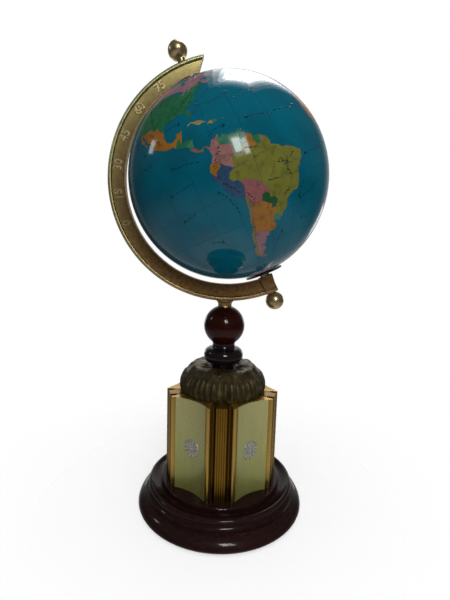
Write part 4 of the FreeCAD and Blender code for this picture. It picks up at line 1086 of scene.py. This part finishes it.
def dome_outline(radius, foot, crest):
    """The dome's outside, from its foot to the well, and its inside back to the foot."""
    side_z, top_z, floor_z = foot + SIDE_Z, foot + 13.7, crest - WELL_DEPTH
    outer = [(radius, foot + SIDE_Z * k / 6) for k in range(6)]
    outer += arc((radius, side_z), (radius - 1.0, foot + 9.0), (radius - 4.1, top_z), 22)
    outer += arc((radius - 4.1, top_z), (radius - 8.0, foot + 17.6), (CREST_R, crest), 18)
    outer += arc((CREST_R, crest), (11.0, crest - 1.3), (WELL_R, floor_z), 10)

    under_z, under_r, inner_r = floor_z - DOME_WALL, WELL_R + 0.8, radius - DOME_WALL
    inner = [(WELL_R, floor_z), (ROD_HOLE_R, floor_z), (ROD_HOLE_R, under_z), (under_r, under_z)]
    inner += arc((under_r, under_z), (12.2, crest - 3.3), (CREST_R, crest - DOME_WALL), 5)[1:]
    inner += arc((CREST_R, crest - DOME_WALL), (20.4, crest - 3.5), (24.0, crest - 7.1), 6)
    inner += arc((24.0, crest - 7.1), (26.6, crest - 11), (inner_r, side_z), 6)
    return outer, inner + [(inner_r, side_z), (inner_r, foot)]


def dome():
    """The cast dome: lobes round its side, a folded shoulder and a rolled crest."""
    low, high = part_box("dome_cap")
    radius, foot, crest = high.x / MM, low.z / MM, high.z / MM
    outer, inner = dome_outline(radius, foot, crest)
    chance = random.Random(3)
    depths = [GADROON_DEPTH * chance.uniform(0.7, 1.2) for _ in range(GADROONS)]
    leans = [chance.uniform(-0.16, 0.16) for _ in range(GADROONS)]
    tops = [foot + GADROON_TOP + chance.uniform(-0.5, 0.5) for _ in range(GADROONS)]
    folds = [(count, chance.uniform(0, math.tau)) for count in FOLD_COUNTS]

    def outside_r(z):
        """The dome's outer radius at a height, before the lobes are cut."""
        for (r1, z1), (r2, z2) in zip(outer, outer[1:]):
            if z1 <= z <= z2:
                return r1 + (r2 - r1) * (z - z1) / max(z2 - z1, 1e-9)
        return radius if z < foot + 4 else 0

    def folded(r, z, angle):
        """How far the crest sinks towards the well, and the folds towards the crest."""
        fold = sum(math.sin(count * angle + phase) for count, phase in folds) / len(folds)
        sunk = CREST_SINK * (1 - smoothstep(r, 14, 23))
        sunk += FOLD_DEPTH * (0.5 + fold) * smoothstep(z, foot + 10, crest - 3)
        return max(sunk, 0) * smoothstep(r, WELL_R + 0.1, 11)

    def lobed(z, angle):
        """How far the side lies inside its outline, between lobes and at their ends."""
        turn = (angle / math.tau * GADROONS) % GADROONS
        number = int(turn) % GADROONS
        across = (turn - int(turn)) * 2 - 1 + leans[number] * (z - foot - 7) / 7
        across = min(max(across, -1), 1)
        top = tops[number]
        valley = 1 - math.sqrt(max(0.0, 1 - across * across))
        rise = smoothstep(z, foot + 0.3, foot + 2.6)
        fade = 1 - smoothstep(z, top - 1.6, top)
        shoulder = 0.55 * smoothstep(z, top - 1.8, top - 0.2)
        shoulder *= 1 - smoothstep(z, foot + 14.8, crest - 1.4)
        tuck = 0.9 * (1 - smoothstep(z, foot, foot + 3.0))
        return depths[number] * valley * rise * fade + shoulder + tuck

    def cast(r, z, angle):
        if r > WELL_R + 0.1 and z > foot + 9:
            z -= folded(r, z, angle)
        if r < 10 or z > crest - 1.2 or r < outside_r(z) - DOME_WALL / 2:
            return r, z
        return r - lobed(z, angle), z

    piece = lathe("gadrooned_dome", outer + inner, GADROONS * GADROON_COLUMNS,
                  LOOKS["olive_bronze"], cast)
    hand_over(piece, "stand", "olive_bronze", "dome_cap")


# ---------------------------------------------------------------- emblems
PETALS = 12
PETAL_IN, PETAL_OUT = 0.22, 0.90        # where petals start and end, as parts of the radius
EMBLEM_RINGS, EMBLEM_SIDES = 14, PETALS * 6
EMBLEM_T = 0.5


def sunburst(part, angle):
    """Height of the medal, in millimetres, at a part of its radius and an angle."""
    petal = abs(math.sin(angle * PETALS / 2))
    relief = 0.16 + 0.30 * petal * smoothstep(part, PETAL_IN, 0.4) * (1 - smoothstep(part, 0.78, PETAL_OUT))
    relief += 0.30 * (1 - smoothstep(part, 0.12, PETAL_IN)) + 0.28 * smoothstep(part, PETAL_OUT, 0.95)
    return relief * (1 - smoothstep(part, 0.97, 1.0))


def medal(name, out, bend, look, ground):
    """A silver sunburst, bent to its panel, in place of the plain disc of that name."""
    low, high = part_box(name)
    centre = Vector((0, 0, (low.z + high.z) / 2))
    radius = (high.z - low.z) / 2
    across = Vector((-out.y, out.x, 0))
    hollow, curve = bend
    verts, faces, sunk = [], [], []
    for back in (False, True):
        for j in range(EMBLEM_RINGS + 1):
            part = j / EMBLEM_RINGS
            for k in range(EMBLEM_SIDES):
                angle = math.tau * k / EMBLEM_SIDES
                x, z = radius * part * math.cos(angle), radius * part * math.sin(angle)
                lift = hollow + curve * x * x - EMBLEM_T * MM
                lift += 0 if back else sunburst(part, angle) * MM
                verts.append(centre + out * lift + across * x + Vector((0, 0, z)))
    layer = (EMBLEM_RINGS + 1) * EMBLEM_SIDES
    for j in range(EMBLEM_RINGS):
        for k in range(EMBLEM_SIDES):
            i = (k + 1) % EMBLEM_SIDES
            here, ahead = j * EMBLEM_SIDES, (j + 1) * EMBLEM_SIDES
            a, b, c, d = here + k, here + i, ahead + i, ahead + k
            faces += [(a, d, c, b), (a + layer, b + layer, c + layer, d + layer)]
            petal = abs(math.sin(math.pi * PETALS * (k + 0.5) / EMBLEM_SIDES))
            sunk += [petal < 0.6 and PETAL_IN < (j + 0.5) / EMBLEM_RINGS < PETAL_OUT] * 2
    for k in range(EMBLEM_SIDES):
        a, b = layer - EMBLEM_SIDES + k, layer - EMBLEM_SIDES + (k + 1) % EMBLEM_SIDES
        faces.append((a, a + layer, b + layer, b))
        sunk.append(False)
    piece = mesh_object(name.replace("panel", "sunburst"), verts, faces, [look, ground])
    piece.data.polygons.foreach_set("material_index", sunk)
    tidy(piece)
    return piece


def rosettes():
    """A sunburst of petals round a boss, on the middle of each hollow panel."""
    ground = emblem_ground()
    for index in range(FACES):
        node = f"panel_emblem_{index + 1}"
        turn = math.radians(-90 + 360 / FACES * (index + 0.5))
        out = Vector((math.cos(turn), math.sin(turn), 0))
        corners = np.array([v.co for v in nodes[node].data.vertices])
        far = corners @ np.array(out)
        span = np.abs(corners @ np.array((-out.y, out.x, 0)))
        near = span < 0.3 * MM
        hollow = float(far[near].max()) if near.any() else float(far.min()) + EMBLEM_T * MM
        curve = (float(far.max()) - hollow) / float(span.max()) ** 2
        piece = medal(node, out, (hollow, curve), LOOKS["emblem"], ground)
        hand_over(piece, "stand", "emblem", node)


# ---------------------------------------------------------------- studio, in metres
WINDOW_LEAN = 18.0
# Each lamp's name, direction from the globe's centre, distance, size, watts, lean in
# degrees, and the kind of light that it gives none of.
LAMPS = (
    ("window_left_pane", (0.125, -0.877, 0.452), 1.5, (0.20, 0.38), 4.6, WINDOW_LEAN, None),
    ("window_right_pane", (0.262, -0.86, 0.44), 1.5, (0.14, 0.40), 2.2, WINDOW_LEAN, None),
    ("window_glow", (0.17, -0.87, 0.45), 1.56, (0.46, 0.62), 3.2, WINDOW_LEAN, None),
    ("ceiling_glow_1", (0.09, 0.53, 0.85), 1.60, (0.44, 0.95), 12, 0, "diffuse"),
    ("ceiling_glow_2", (0.09, 0.53, 0.85), 1.62, (0.58, 1.20), 7, 0, "diffuse"),
    ("ceiling_glow_3", (0.09, 0.53, 0.85), 1.64, (0.76, 1.45), 5, 0, "diffuse"),
    ("ceiling_glow_4", (0.09, 0.53, 0.85), 1.66, (0.96, 1.70), 3.5, 0, "diffuse"),
    ("front_fill", (0.4, -1, -0.08), 1.8, (1.4, 1.4), 19, 0, "glossy"),
    ("rim_lamp_left", (-0.54, 0.83, -0.08), 1.2, (0.20, 0.24), 0.35, 0, "diffuse"),
    ("rim_lamp_right", (0.54, 0.83, -0.08), 1.2, (0.20, 0.24), 0.35, 0, "diffuse"),
    ("side_lamp", (-0.92, 0.055, 0.389), 1.6, (0.19, 0.27), 1.1, 0, "diffuse"),
    ("overhead", (0, -0.15, 1), 2.2, (2.4, 2.4), 50, 0, "glossy"),
)
# How bright the room is from straight down, -1, by the horizon, 0, to straight up, 1.
ROOM_GLOW = ((-1, 0.95), (-0.93, 0.90), (-0.82, 0.45), (-0.5, 0.42), (-0.22, 0.08), (0, 0.05),
             (0.3, 0.12), (0.55, 0.10), (1, 0.08))
BACK_GLOW = 0.9
BACK_EDGE = 0.58                # how squarely behind the object the back glow starts
FLOOR_R = 2.4
FLOOR_Z = -0.2 * MM
FLOOR_SIDES = 96
FADE_NEAR, FADE_FAR = 0.05, 0.24        # from the middle, where fading starts and ends
FADE_FIRST = 0.6                # how clear the floor already is in the middle
CAMERA_AT = (0, -0.2621, 0.177)
CAMERA_PITCH, CAMERA_ROLL = math.radians(7.43), math.radians(1.65)
CAMERA_LENS = 23.44             # focal length, in millimetres


def lamps():
    """A soft window with a glazing bar in front, a ceiling that glows over the back, a
    fill for the front, a broad light overhead, and small lamps for the edges' gloss."""
    for name, toward, distance, size, watts, lean, hidden in LAMPS:
        data = bpy.data.lights.new(name, "AREA")
        data.shape = "RECTANGLE"
        data.size, data.size_y = size
        data.energy = watts
        lamp = bpy.data.objects.new(name, data)
        bpy.context.scene.collection.objects.link(lamp)
        direction = Vector(toward).normalized()
        aim = (-direction).to_track_quat("-Z", "Y").to_matrix()
        turn = aim @ Matrix.Rotation(math.radians(lean), 3, "Z")
        lamp.matrix_world = Matrix.Translation(CENTRE + direction * distance) @ turn.to_4x4()
        lamp.visible_camera = False
        if hidden:
            setattr(lamp, "visible_" + hidden, False)


def room():
    """A dim room that shows in the gloss.  Its far side glows, and it is white to see."""
    world = bpy.data.worlds.new("room")
    bpy.context.scene.world = world
    world.use_nodes = True
    world.node_tree.nodes.clear()
    tree = Tree(world.node_tree, "Generated")
    stops = [((height + 1) / 2, glow) for height, glow in ROOM_GLOW]
    glow = tree.ramp(tree.ranged(tree.along("Z"), -1, 1), *stops)
    behind = tree.ranged(tree.along("Y"), BACK_EDGE, 1, 0, BACK_GLOW, "SMOOTHSTEP")
    seen = tree.node("LightPath").outputs["Is Camera Ray"]
    dim = tree.node("Background", {"Color": glow}).outputs["Background"]
    white = tree.node("Background", {"Color": (1, 1, 1, 1)}).outputs["Background"]
    mix = tree.node("MixShader", {"Fac": tree.maths("MAXIMUM", seen, behind), 1: dim, 2: white})
    tree.node("OutputWorld", {"Surface": mix.outputs["Shader"]})
    bpy.context.scene.view_settings.view_transform = "Standard"


def floor():
    """A pale round floor that fades into the white of the room."""
    turns = [math.tau * k / FLOOR_SIDES for k in range(FLOOR_SIDES)]
    verts = [(FLOOR_R * math.cos(turn), FLOOR_R * math.sin(turn), FLOOR_Z) for turn in turns]
    look = Look("pale_floor", roughness=0.9, specular=0.1)
    look.finish(look.mottle((40, 3), 0.94, 0.96))
    fade = look.ranged(look.distance((0, 0, 0)), FADE_NEAR, FADE_FAR, FADE_FIRST, 1, "SMOOTHSTEP")
    clear = look.node("BsdfTransparent").outputs["BSDF"]
    mix = look.node("MixShader", {"Fac": fade, 1: look.bsdf.outputs["BSDF"], 2: clear})
    look.feed(look.tree.nodes["Material Output"], "Surface", mix.outputs["Shader"])
    piece = mesh_object("studio_floor", verts, [tuple(range(FLOOR_SIDES))], [look.material])
    piece.visible_glossy = False


def camera():
    """Stands in front, below the globe's centre, and looks slightly down."""
    level_up = Vector((0, math.sin(CAMERA_PITCH), math.cos(CAMERA_PITCH)))
    level_right = Vector((1, 0, 0))
    right = level_right * math.cos(CAMERA_ROLL) + level_up * math.sin(CAMERA_ROLL)
    up = level_up * math.cos(CAMERA_ROLL) - level_right * math.sin(CAMERA_ROLL)
    data = bpy.data.cameras.new("camera")
    data.lens = CAMERA_LENS
    data.clip_start = 0.01
    lens = bpy.data.objects.new("camera", data)
    bpy.context.scene.collection.objects.link(lens)
    turn = Matrix((right, up, right.cross(up))).transposed().to_4x4()
    lens.matrix_world = Matrix.Translation(CAMERA_AT) @ turn
    bpy.context.scene.camera = lens


camera()
lamps()
room()
floor()
dress_nodes()
printed_map()
graticule()
rivers()
sea_marks()
hill_marks()
city_dots()
arm_numerals()
dome()
rosettes()
